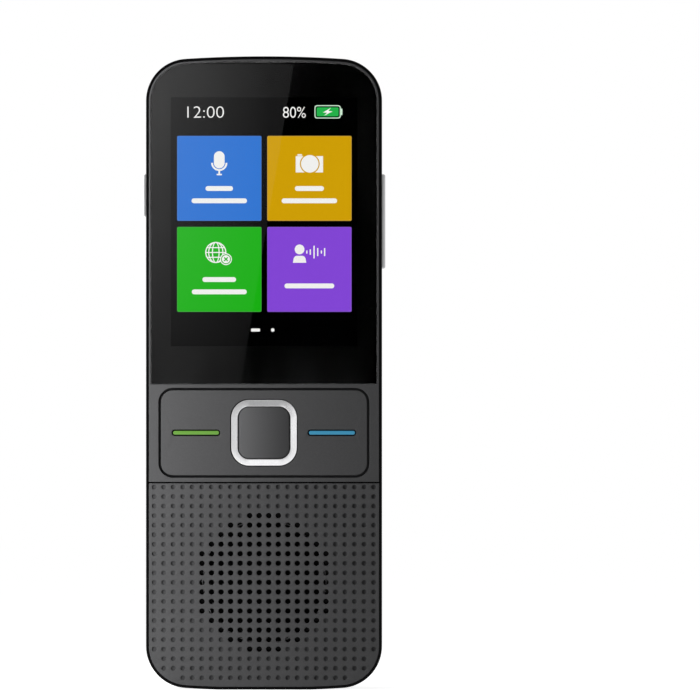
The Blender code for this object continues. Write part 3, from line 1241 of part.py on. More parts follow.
def rear_housing():
    """The upper back shell and, below it, the deck with the battery pocket under the cover."""
    housing = curved_shell("rear_housing", REAR_EDGE_HEIGHT, BODY_HEIGHT + OVERRUN, "soft_black")
    deck_outline = band(body_outline(HOUSING_WALL + DECK_EDGE_GAP), 0, BULKHEAD_TOP)
    deck = plate("deck", [deck_outline], DECK_FRONT, DECK_BACK)
    fuse(housing, locating_lip(REAR_EDGE_HEIGHT, BODY_HEIGHT), seam_tongue(), bulkhead(), deck,
         battery_pocket())

    boss, recess, lens_bore, flash_bore = camera_boss()
    fuse(housing, boss)
    cut(housing, recess, lens_bore, flash_bore)

    for side, label in ((-1, "left"), (1, "right")):
        fuse(housing, rod(f"board_post_{label}", side * BOARD_POST_OFFSET, BODY_HEIGHT - BOARD_POST_DROP,
                          BOARD_POST_RADIUS, BOARD_BACK + SEAT_GAP, SHELL_INNER_BACK, sides=SMALL_SIDES))
    for name, x, z in SCREW_PLACES:
        cut(housing, rod(f"{name}_hole", x, z, SCREW_SHANK_RADIUS + SCREW_HOLE_GAP, DECK_FRONT - OVERRUN,
                         DECK_BACK + OVERRUN, sides=SMALL_SIDES))

    reach = VOLUME_KEY_LENGTH / 2 + SIDE_FLANGE_REACH + KEY_BAY_MARGIN
    key_bay = block("volume_key_bay", (BODY_WIDTH / 2 - HOUSING_WALL - KEY_BAY_REACH, BODY_WIDTH / 2),
                    (DECK_FRONT - OVERRUN, SIDE_KEY_DEPTH + SIDE_KEY_WIDTH / 2 + SIDE_FLANGE_REACH
                     + KEY_BAY_MARGIN / 2), (VOLUME_KEY_HEIGHT - reach, VOLUME_KEY_HEIGHT + reach))
    cut(housing, key_bay)


def battery_cover():
    """The lower part of the back, which pulls off."""
    cover = curved_shell("battery_cover", -OVERRUN, COVER_TOP_HEIGHT, "soft_black")
    fuse(cover, locating_lip(0, COVER_TOP_HEIGHT - TONGUE_LENGTH - TONGUE_GAP))
    carry("battery_cover_axis", (0, y_at(BODY_DEPTH), COVER_TOP_HEIGHT / 2), cover)


def battery():
    """The battery: a wrapped cell and the head with its three contact pads."""
    half_width = BATTERY_WIDTH / 2
    cell = block("battery_cell", (-half_width, half_width), (BATTERY_FRONT, BATTERY_BACK),
                 (BATTERY_BOTTOM_HEIGHT, BATTERY_CELL_TOP_HEIGHT), "cell_wrap", bevel=BATTERY_ROUND,
                 bevel_steps=3)
    head_bottom = BATTERY_CELL_TOP_HEIGHT + SEAT_GAP
    head = block("battery_head", (-half_width, half_width), (BATTERY_FRONT, BATTERY_BACK),
                 (head_bottom, BATTERY_HEAD_TOP), "inner_plastic", bevel=BATTERY_ROUND / 2)
    middle = (0, y_at((BATTERY_FRONT + BATTERY_BACK) / 2), BATTERY_CELL_TOP_HEIGHT / 2)
    carry("battery_axis", middle, cell, head)


def battery_contacts():
    """The contact block at the top of the battery bay and its three leaf springs."""
    back = BATTERY_FRONT + CONTACT_BLOCK_THICKNESS
    contact_block = block("contact_block", (-CONTACT_BLOCK_WIDTH / 2, CONTACT_BLOCK_WIDTH / 2),
                          (BATTERY_FRONT, back), (CONTACT_BLOCK_BOTTOM, CONTACT_BLOCK_TOP), "inner_plastic")
    middle_depth = (BATTERY_FRONT + back) / 2
    tip = BATTERY_HEAD_TOP + PAD_GAP
    root = CONTACT_BLOCK_BOTTOM + CONTACT_SLOT_DEPTH
    for index in range(CONTACT_COUNT):
        x = (index - (CONTACT_COUNT - 1) / 2) * CONTACT_PITCH
        slot_half = CONTACT_WIDTH / 2 + CONTACT_SLOT_GAP
        slot = block(f"slot_{index + 1}", (x - slot_half, x + slot_half),
                     (middle_depth - CONTACT_RISE / 2 - CONTACT_SLOT_GAP,
                      middle_depth + CONTACT_RISE / 2 + CONTACT_THICKNESS + CONTACT_SLOT_GAP),
                     (CONTACT_BLOCK_BOTTOM - OVERRUN, root + CONTACT_SLOT_GAP))
        cut(contact_block, slot)
        low_y = y_at(middle_depth - CONTACT_RISE / 2)
        high_y = y_at(middle_depth + CONTACT_RISE / 2)
        bend = CONTACT_THICKNESS
        profile = [(low_y, root), (low_y, tip), (high_y + bend, tip), (high_y + bend, root - bend),
                   (high_y, root - bend), (high_y, tip + bend), (low_y + bend, tip + bend),
                   (low_y + bend, root)]
        side_plate(f"battery_contact_{index + 1}", [profile], x, CONTACT_WIDTH, "brass")


def screws():
    """The four screws, their heads on the deck under the battery cover."""
    for name, x, z in SCREW_PLACES:
        seat = DECK_BACK + SEAT_GAP
        top = seat + SCREW_HEAD_THICKNESS
        turned(name, x, z,
               [(0, top), (SCREW_HEAD_RADIUS, top), (SCREW_HEAD_RADIUS, seat), (SCREW_SHANK_RADIUS, seat),
                (SCREW_SHANK_RADIUS, seat - SCREW_LENGTH), (0, seat - SCREW_LENGTH)], "steel",
               sides=SMALL_SIDES)


# Camera and antenna


def camera_window():
    """What shows in the boss: plate, lens surround, lens and flash diffuser."""
    radius = ISLAND_RADIUS - ISLAND_RIM_WIDTH - CAMERA_PLATE_GAP
    loops = [circle(0, CAMERA_HEIGHT, radius, ISLAND_SIDES),
             circle(LENS_OFFSET, CAMERA_HEIGHT, LENS_SURROUND_RADIUS + WINDOW_GAP, ROUND_SIDES),
             circle(-LENS_OFFSET, CAMERA_HEIGHT, FLASH_RADIUS + WINDOW_GAP, ROUND_SIDES)]
    plate("camera_plate", loops, CAMERA_PLATE_FRONT, CAMERA_PLATE_BACK, "soft_black")

    surround_front = CAMERA_PLATE_FRONT
    surround_back = surround_front + LENS_SURROUND_THICKNESS
    turned("lens_surround", LENS_OFFSET, CAMERA_HEIGHT,
           [(LENS_CONE_RADIUS, surround_back), (LENS_SURROUND_RADIUS, surround_back),
            (LENS_SURROUND_RADIUS, surround_front), (LENS_PUPIL_RADIUS, surround_front),
            (LENS_PUPIL_RADIUS, (surround_front + surround_back) / 2)], "lens_grey", is_ring=True)
    glass_back = surround_front - SEAT_GAP
    turned("camera_lens", LENS_OFFSET, CAMERA_HEIGHT,
           [(0, glass_back), (LENS_GLASS_RADIUS * LENS_GLASS_DOME_SHARE, glass_back - LENS_GLASS_THICKNESS / 4),
            (LENS_GLASS_RADIUS, glass_back - LENS_GLASS_THICKNESS / 2),
            (LENS_GLASS_RADIUS, glass_back - LENS_GLASS_THICKNESS), (0, glass_back - LENS_GLASS_THICKNESS)],
           "cover_glass")
    turned("flash_diffuser", -LENS_OFFSET, CAMERA_HEIGHT,
           [(0, surround_front + FLASH_THICKNESS), (FLASH_RADIUS / 2, surround_front + FLASH_THICKNESS),
            (FLASH_RADIUS, surround_front + LENS_SURROUND_THICKNESS), (FLASH_RADIUS, surround_front),
            (0, surround_front)], "flash_yellow")


def camera_module():
    """The camera behind the lens, its bracket on the main board and the flash emitter."""
    lens_back = CAMERA_PLATE_FRONT - SEAT_GAP - LENS_GLASS_THICKNESS
    barrel_back = lens_back - SEAT_GAP
    body_back = barrel_back - CAMERA_BARREL_LENGTH
    half = CAMERA_MODULE_SIZE / 2
    bracket_front = BOARD_BACK + SEAT_GAP
    body_front = bracket_front + BRACKET_WALL + SEAT_GAP
    module = block("camera_module", (LENS_OFFSET - half, LENS_OFFSET + half), (body_front, body_back),
                   (CAMERA_HEIGHT - half, CAMERA_HEIGHT + half), "inner_plastic")
    fuse(module, rod("barrel", LENS_OFFSET, CAMERA_HEIGHT, CAMERA_BARREL_RADIUS, body_back - EMBED,
                     barrel_back))

    pocket = half + SEAT_GAP
    left = -LENS_OFFSET - BRACKET_PEDESTAL_WIDTH / 2
    right = LENS_OFFSET + pocket + BRACKET_WALL
    tall = pocket + BRACKET_WALL
    bracket_back = body_back - SEAT_GAP
    bracket = block("camera_bracket", (left, right), (bracket_front, bracket_back),
                    (CAMERA_HEIGHT - tall, CAMERA_HEIGHT + tall), "inner_plastic")
    hollow = block("pocket", (LENS_OFFSET - pocket, LENS_OFFSET + pocket),
                   (bracket_front + BRACKET_WALL, bracket_back + OVERRUN),
                   (CAMERA_HEIGHT - pocket, CAMERA_HEIGHT + pocket))
    cut(bracket, hollow)
    emitter_front = bracket_back + SEAT_GAP
    size = FLASH_EMITTER_SIZE / 2
    block("flash_emitter", (-LENS_OFFSET - size, -LENS_OFFSET + size),
          (emitter_front, emitter_front + FLASH_EMITTER_THICKNESS),
          (CAMERA_HEIGHT - size, CAMERA_HEIGHT + size), "flash_yellow")


def antenna():
    """The antenna strip inside the upper back."""
    back = SHELL_INNER_BACK - SEAT_GAP
    plate("antenna", [rounded_rectangle(0, BODY_HEIGHT - ANTENNA_DROP, ANTENNA_WIDTH, ANTENNA_HEIGHT,
                                        ANTENNA_CORNER, steps=2)],
          back - ANTENNA_THICKNESS, back, "ribbon")


front_housing()
front_bezel()
touch_glass()
speaker_grille()
key_ring()
ok_key()
key_plate()
keypad_board()
side_keys()
display()
main_board()
speaker()
lower_board()
rear_housing()
battery_cover()
battery()
battery_contacts()
screws()
camera_window()
camera_module()
antenna()
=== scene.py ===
"""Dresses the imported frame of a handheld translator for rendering.

The device stands upright on its bottom end. X runs to the right as seen from the front, Z runs up, and
the front faces -Y. Depths are measured backwards from the rim of the front, as in the part's source.
"""

import math

import bmesh
import bpy
from mathutils import Matrix, Vector


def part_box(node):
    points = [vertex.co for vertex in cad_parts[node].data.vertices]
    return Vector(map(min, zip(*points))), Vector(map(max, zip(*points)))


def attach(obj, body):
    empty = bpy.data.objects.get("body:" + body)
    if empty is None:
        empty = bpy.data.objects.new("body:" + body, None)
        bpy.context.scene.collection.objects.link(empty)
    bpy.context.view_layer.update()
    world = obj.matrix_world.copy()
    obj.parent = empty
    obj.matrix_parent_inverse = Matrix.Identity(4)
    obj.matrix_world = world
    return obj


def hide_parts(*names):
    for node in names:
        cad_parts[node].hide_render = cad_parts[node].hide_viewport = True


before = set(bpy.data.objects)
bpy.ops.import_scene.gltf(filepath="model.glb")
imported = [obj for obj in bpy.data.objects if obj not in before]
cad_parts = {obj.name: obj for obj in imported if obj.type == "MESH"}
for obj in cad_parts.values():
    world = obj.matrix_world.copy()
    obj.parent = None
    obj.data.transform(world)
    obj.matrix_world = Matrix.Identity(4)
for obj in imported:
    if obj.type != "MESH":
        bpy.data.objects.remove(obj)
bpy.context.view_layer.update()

bl_info = {
    "name": "Handheld translator",
    "version": (1, 0, 0),
    "blender": (4, 5, 0),
    "location": "View3D > Sidebar > Translator",
    "description": "Dresses the frame of a handheld translator with its finished pieces",
    "category": "Add Mesh",
}

MM = 0.001
DEGREE = math.pi / 180
QUARTER = math.pi / 2

# Body
BODY_WIDTH = 46.4 * MM
BODY_HEIGHT = 124.5 * MM
BODY_DEPTH = 12.0 * MM
CORNER_RADIUS = 8.25 * MM
CROWN_RADIUS = 241.0 * MM
FOOT_FLAT_SHARE = 0.6
SIDE_DEPTH = 7.9 * MM
BACK_CURVE_INSET = 10.0 * MM
CORNER_TAPER_SHARE = 0.5
HOUSING_WALL = 1.5 * MM
COVER_WALL = 1.1 * MM
SIDE_SEAM_INSET = 1.04 * MM
SIDE_SEAM_GAP = 0.12 * MM
BACK_SEAM_HEIGHT = BODY_HEIGHT - 38.45 * MM
BACK_SEAM_GAP = 0.5 * MM
PANEL_GAP = 0.06 * MM
SEAT_GAP = 0.1 * MM
OVERRUN = 1.0 * MM
EMBED = 0.3 * MM

# Fineness of the curves
CORNER_STEPS = 18
CROWN_STEPS = 20
BACK_STEPS = 22
RIM_STEPS = 5
ROUNDING_STEPS = 4
LOOP_STEPS = 10
ROUND_SIDES = 64
BOSS_SIDES = 96
HOLE_SIDES = 20
SMOOTH_ANGLE = 32 * DEGREE

# Front
RIM_WIDTH = 0.52 * MM
PANEL_SET_BACK = 0.05 * MM
# Deeper than this the walls of the gaps round the panels and keys take the dark plastic: painted shade
DARK_DEPTH = PANEL_SET_BACK + 0.08 * MM
PANEL_BACK = 1.2 * MM
PANEL_SEAT = 1.3 * MM
WEB_BACK = 2.4 * MM
GLASS_BACK = 1.15 * MM
GLASS_LIP = 0.4 * MM
GLASS_BOTTOM_HEIGHT = 60.1 * MM
GRILLE_TOP_HEIGHT = 40.7 * MM
GRILLE_SEAM_GAP = 0.3 * MM
KEYS_HEIGHT = 50.5 * MM
HOLES_HEIGHT = 21.1 * MM
HOLE_PITCH = 1.875 * MM
HOLE_RADIUS = 0.54 * MM
HOLE_ROWS = (4, 8, 10, 12, 14, 14, 14, 14, 14, 14, 14, 12, 10, 8, 4)
DIMPLE_RADIUS = 0.47 * MM
DIMPLE_ROWS = 10
DIMPLE_COLUMNS = 24
SPEAKER_OPENING_RADIUS = 12.3 * MM
WINDOW_HALF_WIDTH = 21.45 * MM
WINDOW_SPAN = (61.1 * MM, 118.8 * MM)
SCREEN_SPAN = (61.2 * MM, 118.7 * MM)

# Keys
KEY_PLATE_WIDTH = 40.5 * MM
KEY_PLATE_HEIGHT = 16.7 * MM
KEY_PLATE_CORNER = 2.35 * MM
KEY_GROOVE = 0.48 * MM
KEY_FLANGE_REACH = 0.85 * MM
KEY_FLANGE_FRONT = 1.65 * MM
KEY_FLANGE_BACK = 2.15 * MM
WELL_FLOOR_FRONT = 2.65 * MM
WELL_FLOOR_BACK = 3.25 * MM
PLUNGER_TIP = 3.3 * MM
ROCKER_PLUNGER_OFFSET = 15.5 * MM
ROCKER_PLUNGER_HEIGHT = KEYS_HEIGHT - 3.6 * MM
RING_SIZE = 12.92 * MM
RING_CORNER = 3.55 * MM
RING_WIDTH = 1.26 * MM
RING_PROUD = 0.25 * MM
RING_GAP = 0.15 * MM
KEY_CROWN = 0.26 * MM
BAR_LENGTH = 9.55 * MM
BAR_OFFSET = (KEY_PLATE_WIDTH + RING_SIZE) / 4
BAR_SLOT_WIDTH = 1.26 * MM
BAR_WIDTH = 0.74 * MM
SIDE_KEY_DEPTH = 5.8 * MM
SIDE_KEY_WIDTH = 2.4 * MM
SIDE_KEY_PROUD = 0.68 * MM
SIDE_KEY_GAP = 0.15 * MM
SIDE_FLANGE_REACH = 0.4 * MM
SIDE_FLANGE_THICKNESS = 0.45 * MM
POWER_KEY_HEIGHT, POWER_KEY_HALF = 97.35 * MM, 4.25 * MM
VOLUME_KEY_HEIGHT, VOLUME_KEY_HALF = 92.22 * MM, 9.325 * MM
VOLUME_BAY_HALF = 10.725 * MM

# Inside, seen once the battery cover is off
DECK_FRONT = 5.7 * MM
DECK_BACK = 6.5 * MM
DECK_EDGE_GAP = 0.15 * MM
BATTERY_WIDTH = 32.4 * MM
BATTERY_FRONT = 6.6 * MM
BATTERY_BACK = 10.5 * MM
BATTERY_BOTTOM_HEIGHT = 8.6 * MM
CONTACT_BLOCK_TOP = BACK_SEAM_HEIGHT - 12.45 * MM
LOWER_BOSS = (17.35 * MM, 5.0 * MM)
UPPER_BOSS = (19.5 * MM, BACK_SEAM_HEIGHT - 8.05 * MM)
SCREW_BOSS_RADIUS = 1.7 * MM
SCREW_HOLE_RADIUS = 0.8 * MM
POCKET_CLEARANCE = 0.35 * MM
POCKET_WALL = 0.9 * MM
SOCKET_DEPTH = WEB_BACK + SEAT_GAP + 1.25 * MM
BULKHEAD_WALL = 1.2 * MM

# Camera boss
CAMERA_HEIGHT = BODY_HEIGHT - 11.2 * MM
ISLAND_PROUD = 0.7 * MM
ISLAND_RADIUS = 6.65 * MM
ISLAND_DRAFT_SHARE = 0.32
ISLAND_RIM_WIDTH = 0.4 * MM
LENS_OFFSET = 2.2 * MM
LENS_RADIUS = 1.57 * MM
PUPIL_RADIUS = 0.38 * MM
FLASH_RADIUS = 1.4 * MM

# The lit screen, in millimetres
LIT_WIDTH = 36.72
LIT_HEIGHT = 48.96
LIT_MIDDLE = 92.0
TILE_WIDTH = 16.6
TILE_HEIGHT = 16.72
TILE_X = (-8.82, 8.91)
TILE_Z = (100.54, 82.63)
WORD_THICKNESS = 0.95
PICTURE_DEPTH = 1.24
PICTURE_STEP = 0.013

# Depths that follow
FRONT_Y = RING_PROUD - (BODY_DEPTH + RING_PROUD + ISLAND_PROUD) / 2
BACK_CURVE_DEPTH = BODY_DEPTH - SIDE_DEPTH
SEAM_ANGLE = math.acos(1 - SIDE_SEAM_INSET / BACK_CURVE_INSET)
SEAM_DEPTH = SIDE_DEPTH + BACK_CURVE_DEPTH * math.sin(SEAM_ANGLE)
COVER_EDGE_DEPTH = SEAM_DEPTH + SIDE_SEAM_GAP
COVER_EDGE_ANGLE = math.asin((COVER_EDGE_DEPTH - SIDE_DEPTH) / BACK_CURVE_DEPTH)
INNER_HALF_WIDTH = BODY_WIDTH / 2 - HOUSING_WALL
SHELL_INNER_BACK = BODY_DEPTH - COVER_WALL
REAR_EDGE_HEIGHT = BACK_SEAM_HEIGHT + BACK_SEAM_GAP / 2
COVER_TOP_HEIGHT = BACK_SEAM_HEIGHT - BACK_SEAM_GAP / 2
ISLAND_TOP = BODY_DEPTH + ISLAND_PROUD
DISC_BACK = ISLAND_TOP - 0.12 * MM
DISC_FRONT = DISC_BACK - 0.6 * MM

# Stage: the middle of the view, the width of the film, and the rays that see the stage's white
VIEW_MIDDLE = (16.9 * MM, 66.77 * MM)
FILM_WIDTH = 36.0
SEEN_BY = ("Is Camera Ray", "Is Glossy Ray", "Is Transmission Ray")


def tone(red, green, blue):
    """A colour as the eye reads it, each part from 0 to 255, in the linear values that shaders use."""
    parts = []
    for value in (red / 255, green / 255, blue / 255):
        parts.append(value / 12.92 if value <= 0.04045 else ((value + 0.055) / 1.055) ** 2.4)
    return tuple(parts)


def length(name, description, default, soft_max=5 * MM):
    """A length that a user may change."""
    return bpy.props.FloatProperty(name=name, description=description, default=default, min=0,
                                   soft_max=soft_max, unit="LENGTH", subtype="DISTANCE", precision=5)


def colour(name, description, default):
    """A colour that a user may change."""
    return bpy.props.FloatVectorProperty(name=name, description=description, default=default, min=0,
                                         max=1, size=3, subtype="COLOR")


def share(name, description, default, top=1.0):
    """A plain number that a user may change."""
    return bpy.props.FloatProperty(name=name, description=description, default=default, min=0, max=top)


class TRANSLATOR_PG_edges(bpy.types.PropertyGroup):
    """How softly the mouldings are rounded."""

    rim: length("Rim", "Rounding of the glossy rim round the front", 0.25 * MM)
    panel: length("Panels", "Rounding of the bezel, the grille and the glass", 0.09 * MM)
    key_plate: length("Rocking key", "Rounding of the rocking key", 0.1 * MM)
    seam: length("Back seam", "Rounding of the two back shells where they meet", 0.28 * MM)
    side_key: length("Side keys", "Rounding of the power key and the volume key", 0.4 * MM)
    dimple_depth: length("Dimples", "Depth of the dimples in the grille", 0.26 * MM)


class TRANSLATOR_PG_finishes(bpy.types.PropertyGroup):
    """Colours and gloss of the finishes."""

    rim_black: colour("Gloss black", "Rim and sides", (0.002, 0.002, 0.0022))
    panel_grey: colour("Grey plastic", "Bezel, grille and keys", (0.08, 0.08, 0.082))
    back_black: colour("Soft black", "Back shells", (0.022, 0.022, 0.0235))
    # Also painted shade on the walls of the gaps round the panels and keys, and in the grille's holes
    inner_and_shade_black: colour("Inner plastic", "Mouldings inside", (0.016, 0.016, 0.018))
    silver: colour("Silver", "Ring and side keys", (0.9, 0.9, 0.91))
    green_light: colour("Green bar", "Left light bar", tone(114, 175, 64))
    blue_light: colour("Blue bar", "Right light bar", tone(58, 158, 200))
    flash: colour("Flash", "Flash window", tone(246, 238, 96))
    panel_gloss: share("Panel roughness", "Roughness of the grey plastic", 0.42)
    back_gloss: share("Back roughness", "Roughness of the back shells", 0.46)


class TRANSLATOR_PG_screen(bpy.types.PropertyGroup):
    """Colours of the lit screen."""

    voice: colour("Voice tile", "Upper left tile", tone(46, 116, 208))
    photo: colour("Photo tile", "Upper right tile", tone(206, 158, 8))
    offline: colour("Offline tile", "Lower left tile", tone(26, 175, 20))
    record: colour("Recording tile", "Lower right tile", tone(130, 70, 212))
    charge: colour("Charge", "Battery sign in the status row", tone(38, 176, 74))
    brightness: share("Brightness", "Light that the screen gives off", 1.07, 5.0)


class TRANSLATOR_PG_stage(bpy.types.PropertyGroup):
    """Lamps and camera."""

    front_lamp: share("Front lamp", "Power of the lamp left of the front, in watts", 0.066, 50.0)
    back_lamp: share("Back lamp", "Power of the lamp beside the back, in watts", 0.06, 50.0)
    sky: share("Sky", "Strength of the light from all round", 0.12, 5.0)
    lens: share("Lens", "Focal length of the camera, in millimetres", 200.0, 500.0)
    frame_width: length("Frame width", "Width of the picture at the front of the device", 137.55 * MM, 1.0)


# Outlines, seen from the front as lists of (x, z)


def y_at(depth):
    """Y of a depth behind the rim of the front."""
    return FRONT_Y + depth


def arc(centre_x, centre_z, radius, start, end, steps):
    """Points on an arc, both ends included."""
    return [(centre_x + radius * math.cos(start + (end - start) * step / steps),
             centre_z + radius * math.sin(start + (end - start) * step / steps))
            for step in range(steps + 1)]


def body_outline(inset, corner=None):
    """The body's outline drawn in by inset, with the small flat that it stands on."""
    if corner is None:
        corner = CORNER_RADIUS - inset
    crown = CROWN_RADIUS - inset
    corner_x = BODY_WIDTH / 2 - inset - corner
    lean = math.asin(corner_x / (crown - corner))
    rise = (crown - corner) * math.cos(lean)
    foot = FOOT_FLAT_SHARE * (BODY_WIDTH / 2 - CORNER_RADIUS)
    top_centre = BODY_HEIGHT - CROWN_RADIUS
    bottom_centre = math.sqrt(CROWN_RADIUS ** 2 - foot ** 2)
    foot_lean = math.acos((bottom_centre - inset) / crown)
    low_corner = bottom_centre - rise
    high_corner = top_centre + rise
    points = arc(0, bottom_centre, crown, foot_lean - QUARTER, lean - QUARTER, RIM_STEPS)
    points += arc(corner_x, low_corner, corner, lean - QUARTER, 0, CORNER_STEPS)[1:]
    points += arc(corner_x, high_corner, corner, 0, QUARTER - lean, CORNER_STEPS)
    points += arc(0, top_centre, crown, QUARTER - lean, QUARTER + lean, CROWN_STEPS)[1:-1]
    points += arc(-corner_x, high_corner, corner, QUARTER + lean, math.pi, CORNER_STEPS)
    points += arc(-corner_x, low_corner, corner, math.pi, 3 * QUARTER - lean, CORNER_STEPS)
    points += arc(0, bottom_centre, crown, -QUARTER - lean, -QUARTER - foot_lean, RIM_STEPS)[1:]
    return points


def band(points, low, high):
    """The part of a convex outline between two heights."""
    for limit, side in ((low, 1), (high, -1)):
        kept = []
        for here, after in zip(points, points[1:] + points[:1]):
            here_in = side * (here[1] - limit) >= 0
            after_in = side * (after[1] - limit) >= 0
            if here_in:
                kept.append(here)
            if here_in != after_in:
                part = (limit - here[1]) / (after[1] - here[1])
                kept.append((here[0] + part * (after[0] - here[0]), limit))
        points = kept
    return points


def rounded_rectangle(centre_x, centre_z, width, height, corner, steps=LOOP_STEPS):
    """A rectangle with round corners."""
    points = []
    for turn, (side_x, side_z) in enumerate(((1, -1), (1, 1), (-1, 1), (-1, -1))):
        start = (turn - 1) * QUARTER
        points += arc(centre_x + side_x * (width / 2 - corner), centre_z + side_z * (height / 2 - corner),
                      corner, start, start + QUARTER, steps)
    return points


def circle(centre_x, centre_z, radius, sides=ROUND_SIDES):
    """A circle of so many sides."""
    return arc(centre_x, centre_z, radius, math.pi / sides, math.pi / sides + 2 * math.pi, sides)[:-1]


def stadium(centre_x, centre_z, width, height):
    """A bar with round ends, which keep a short flat so that their corners stay apart."""
    return rounded_rectangle(centre_x, centre_z, width, height, height / 2.02)


def key_square(size, corner):
    """A rounded square round the middle of the keys."""
    return rounded_rectangle(0, KEYS_HEIGHT, size, size, corner)


def key_plate_outline(reach=0.0):
    """The outline of the rocking key, made wider by reach."""
    return rounded_rectangle(0, KEYS_HEIGHT, KEY_PLATE_WIDTH + 2 * reach, KEY_PLATE_HEIGHT + 2 * reach,
                             KEY_PLATE_CORNER + reach)


def about(middle, half):
    """The span from half below a middle to half above it."""
    return middle - half, middle + half


# Meshes


def add_piece(name, mesh, location=(0, 0, 0)):
    """A new object in the scene's collection."""
    piece = bpy.data.objects.new(name, mesh)
    bpy.context.scene.collection.objects.link(piece)
    piece.location = location
    return piece


def mesh_from(shape, name):
    """A mesh with outward faces from a bmesh."""
    bmesh.ops.recalc_face_normals(shape, faces=shape.faces)
    mesh = bpy.data.meshes.new(name)
    shape.to_mesh(mesh)
    shape.free()
    return mesh


def evaluated_mesh(thing):
    """The mesh that an object's modifiers or its curve make."""
    bpy.context.view_layer.update()
    return bpy.data.meshes.new_from_object(thing.evaluated_get(bpy.context.evaluated_depsgraph_get()))


def flat_solid(name, loops, half_thickness, location, rotation, edge=0.0, edge_steps=2):
    """A flat outline with its openings, extruded, with its edges rounded by edge."""
    outline = bpy.data.curves.new(name + "_outline", "CURVE")
    outline.dimensions = "2D"
    outline.fill_mode = "BOTH"
    outline.extrude = half_thickness - edge
    outline.bevel_depth = edge
    outline.bevel_resolution = edge_steps
    outline.offset = -edge
    for loop in loops:
        spline = outline.splines.new("POLY")
        spline.points.add(len(loop) - 1)
        for point, (across, up) in zip(spline.points, loop):
            point.co = (across, up, 0, 1)
        spline.use_cyclic_u = True
    drawn = add_piece(name + "_outline", outline, location)
    drawn.rotation_euler = rotation
    filled = evaluated_mesh(drawn)
    shape = bmesh.new()
    shape.from_mesh(filled)
    shape.transform(drawn.matrix_world)
    bpy.data.objects.remove(drawn)
    bpy.data.curves.remove(outline)
    bpy.data.meshes.remove(filled)
    bmesh.ops.remove_doubles(shape, verts=shape.verts, dist=MM / 2000)
    return add_piece(name, mesh_from(shape, name))


def plate(name, loops, front, back, edge=0.0, edge_steps=2):
    """A plate parallel to the front, from loops of (x, z) between two depths."""
    return flat_solid(name, loops, (back - front) / 2, (0, y_at((front + back) / 2), 0), (QUARTER, 0, 0),
                      edge, edge_steps)


def upright_plate(name, loops, low, high, edge=0.0):
    """A plate parallel to the ground, from loops of (x, y) between two heights."""
    return flat_solid(name, loops, (high - low) / 2, (0, 0, (low + high) / 2), (0, 0, 0), edge)


def rings_mesh(name, rings, is_loop=False):
    """A closed solid through rings of as many points, each a depth and its (x, z) points.

    A ring of one point is a tip. In a loop the last ring joins the first.
    """
    shape = bmesh.new()
    loops = [[shape.verts.new((x, y_at(depth), z)) for x, z in points] for depth, points in rings]
    sides = max(len(loop) for loop in loops)
    for near, far in zip(loops, loops[1:] + (loops[:1] if is_loop else [])):
        for index in range(sides):
            corners = []
            for loop, step in ((near, 0), (near, 1), (far, 1), (far, 0)):
                corner = loop[(index + step) % len(loop)]
                if corner not in corners:
                    corners.append(corner)
            if len(corners) > 2:
                shape.faces.new(corners)
    for loop in () if is_loop else (loops[0], loops[-1]):
        if len(loop) > 1:
            shape.faces.new(loop)
    return add_piece(name, mesh_from(shape, name))


def turned(name, centre_x, centre_z, profile, sides=ROUND_SIDES, is_ring=False):
    """A round solid about an axis that runs straight back, from a profile of (radius, depth)."""
    return rings_mesh(name, [(depth, circle(centre_x, centre_z, radius, sides) if radius
                              else [(centre_x, centre_z)]) for radius, depth in profile], is_ring)


def rod(name, centre_x, centre_z, radius, front, back, sides=ROUND_SIDES):
    """A round bar that runs straight back, between two depths."""
    return turned(name, centre_x, centre_z, [(radius, front), (radius, back)], sides)


def block(name, x_span, depth_span, z_span, edge=0.0, edge_steps=4):
    """A box between two values of x, depth and z, with its edges rounded."""
    low = Vector((min(x_span), y_at(depth_span[0]), z_span[0]))
    high = Vector((max(x_span), y_at(depth_span[1]), z_span[1]))
    shape = bmesh.new()
    bmesh.ops.create_cube(shape, size=1, matrix=Matrix.Translation((low + high) / 2)
                          @ Matrix.Diagonal((*(high - low), 1)))
    if edge:
        bmesh.ops.bevel(shape, geom=shape.edges[:], offset=edge, segments=edge_steps, profile=0.5,
                        affect="EDGES")
    return add_piece(name, mesh_from(shape, name))


def combine(piece, others, operation):
    """Join other solids to a piece, cut them out of it, or keep what they share."""
    for other in others:
        step = piece.modifiers.new(other.name, "BOOLEAN")
        step.operation = operation
        step.solver = "EXACT"
        step.object = other
    made = evaluated_mesh(piece)
    piece.modifiers.clear()
    piece.data = made
    for other in others:
        bpy.data.objects.remove(other)
    return piece


def cut(piece, *others):
    """Cut other solids out of a piece."""
    return combine(piece, others, "DIFFERENCE")


def fuse(piece, *others):
    """Join other solids to a piece, as one moulding."""
    return combine(piece, others, "UNION")


def gather(name, pieces):
    """Several meshes as one object, for details that are printed or moulded together."""
    shape = bmesh.new()
    for piece in pieces:
        piece.data.transform(piece.matrix_world)
        shape.from_mesh(piece.data)
        bpy.data.objects.remove(piece)
    return add_piece(name, mesh_from(shape, name))


def finish(piece, slot, *nodes, body="handset", look=None, inner=None, shade_depth=0.0,
           smooth=SMOOTH_ANGLE):
    """Give a piece its material and its body, and hide the CAD nodes it stands for.

    The material has the slot's name, unless look names another. The walls and ledges deeper than
    the given depth take the material that inner names: painted shade in the gaps and hollows.
    """
    mesh = piece.data
    mesh.materials.clear()
    mesh.materials.append(material(look or slot))
    if inner:
        mesh.materials.append(material(inner))
    for polygon in mesh.polygons:
        polygon.material_index = int(inner is not None and polygon.center.y > y_at(shade_depth))
    mesh.validate()
    mesh.shade_smooth()
    mesh.set_sharp_from_angle(angle=smooth)
    weighed = piece.modifiers.new("flat_faces_stay_flat", "WEIGHTED_NORMAL")
    weighed.mode = "FACE_AREA"
    weighed.keep_sharp = True
    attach(piece, body)
    if nodes:
        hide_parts(*nodes)
    return piece


# Finishes


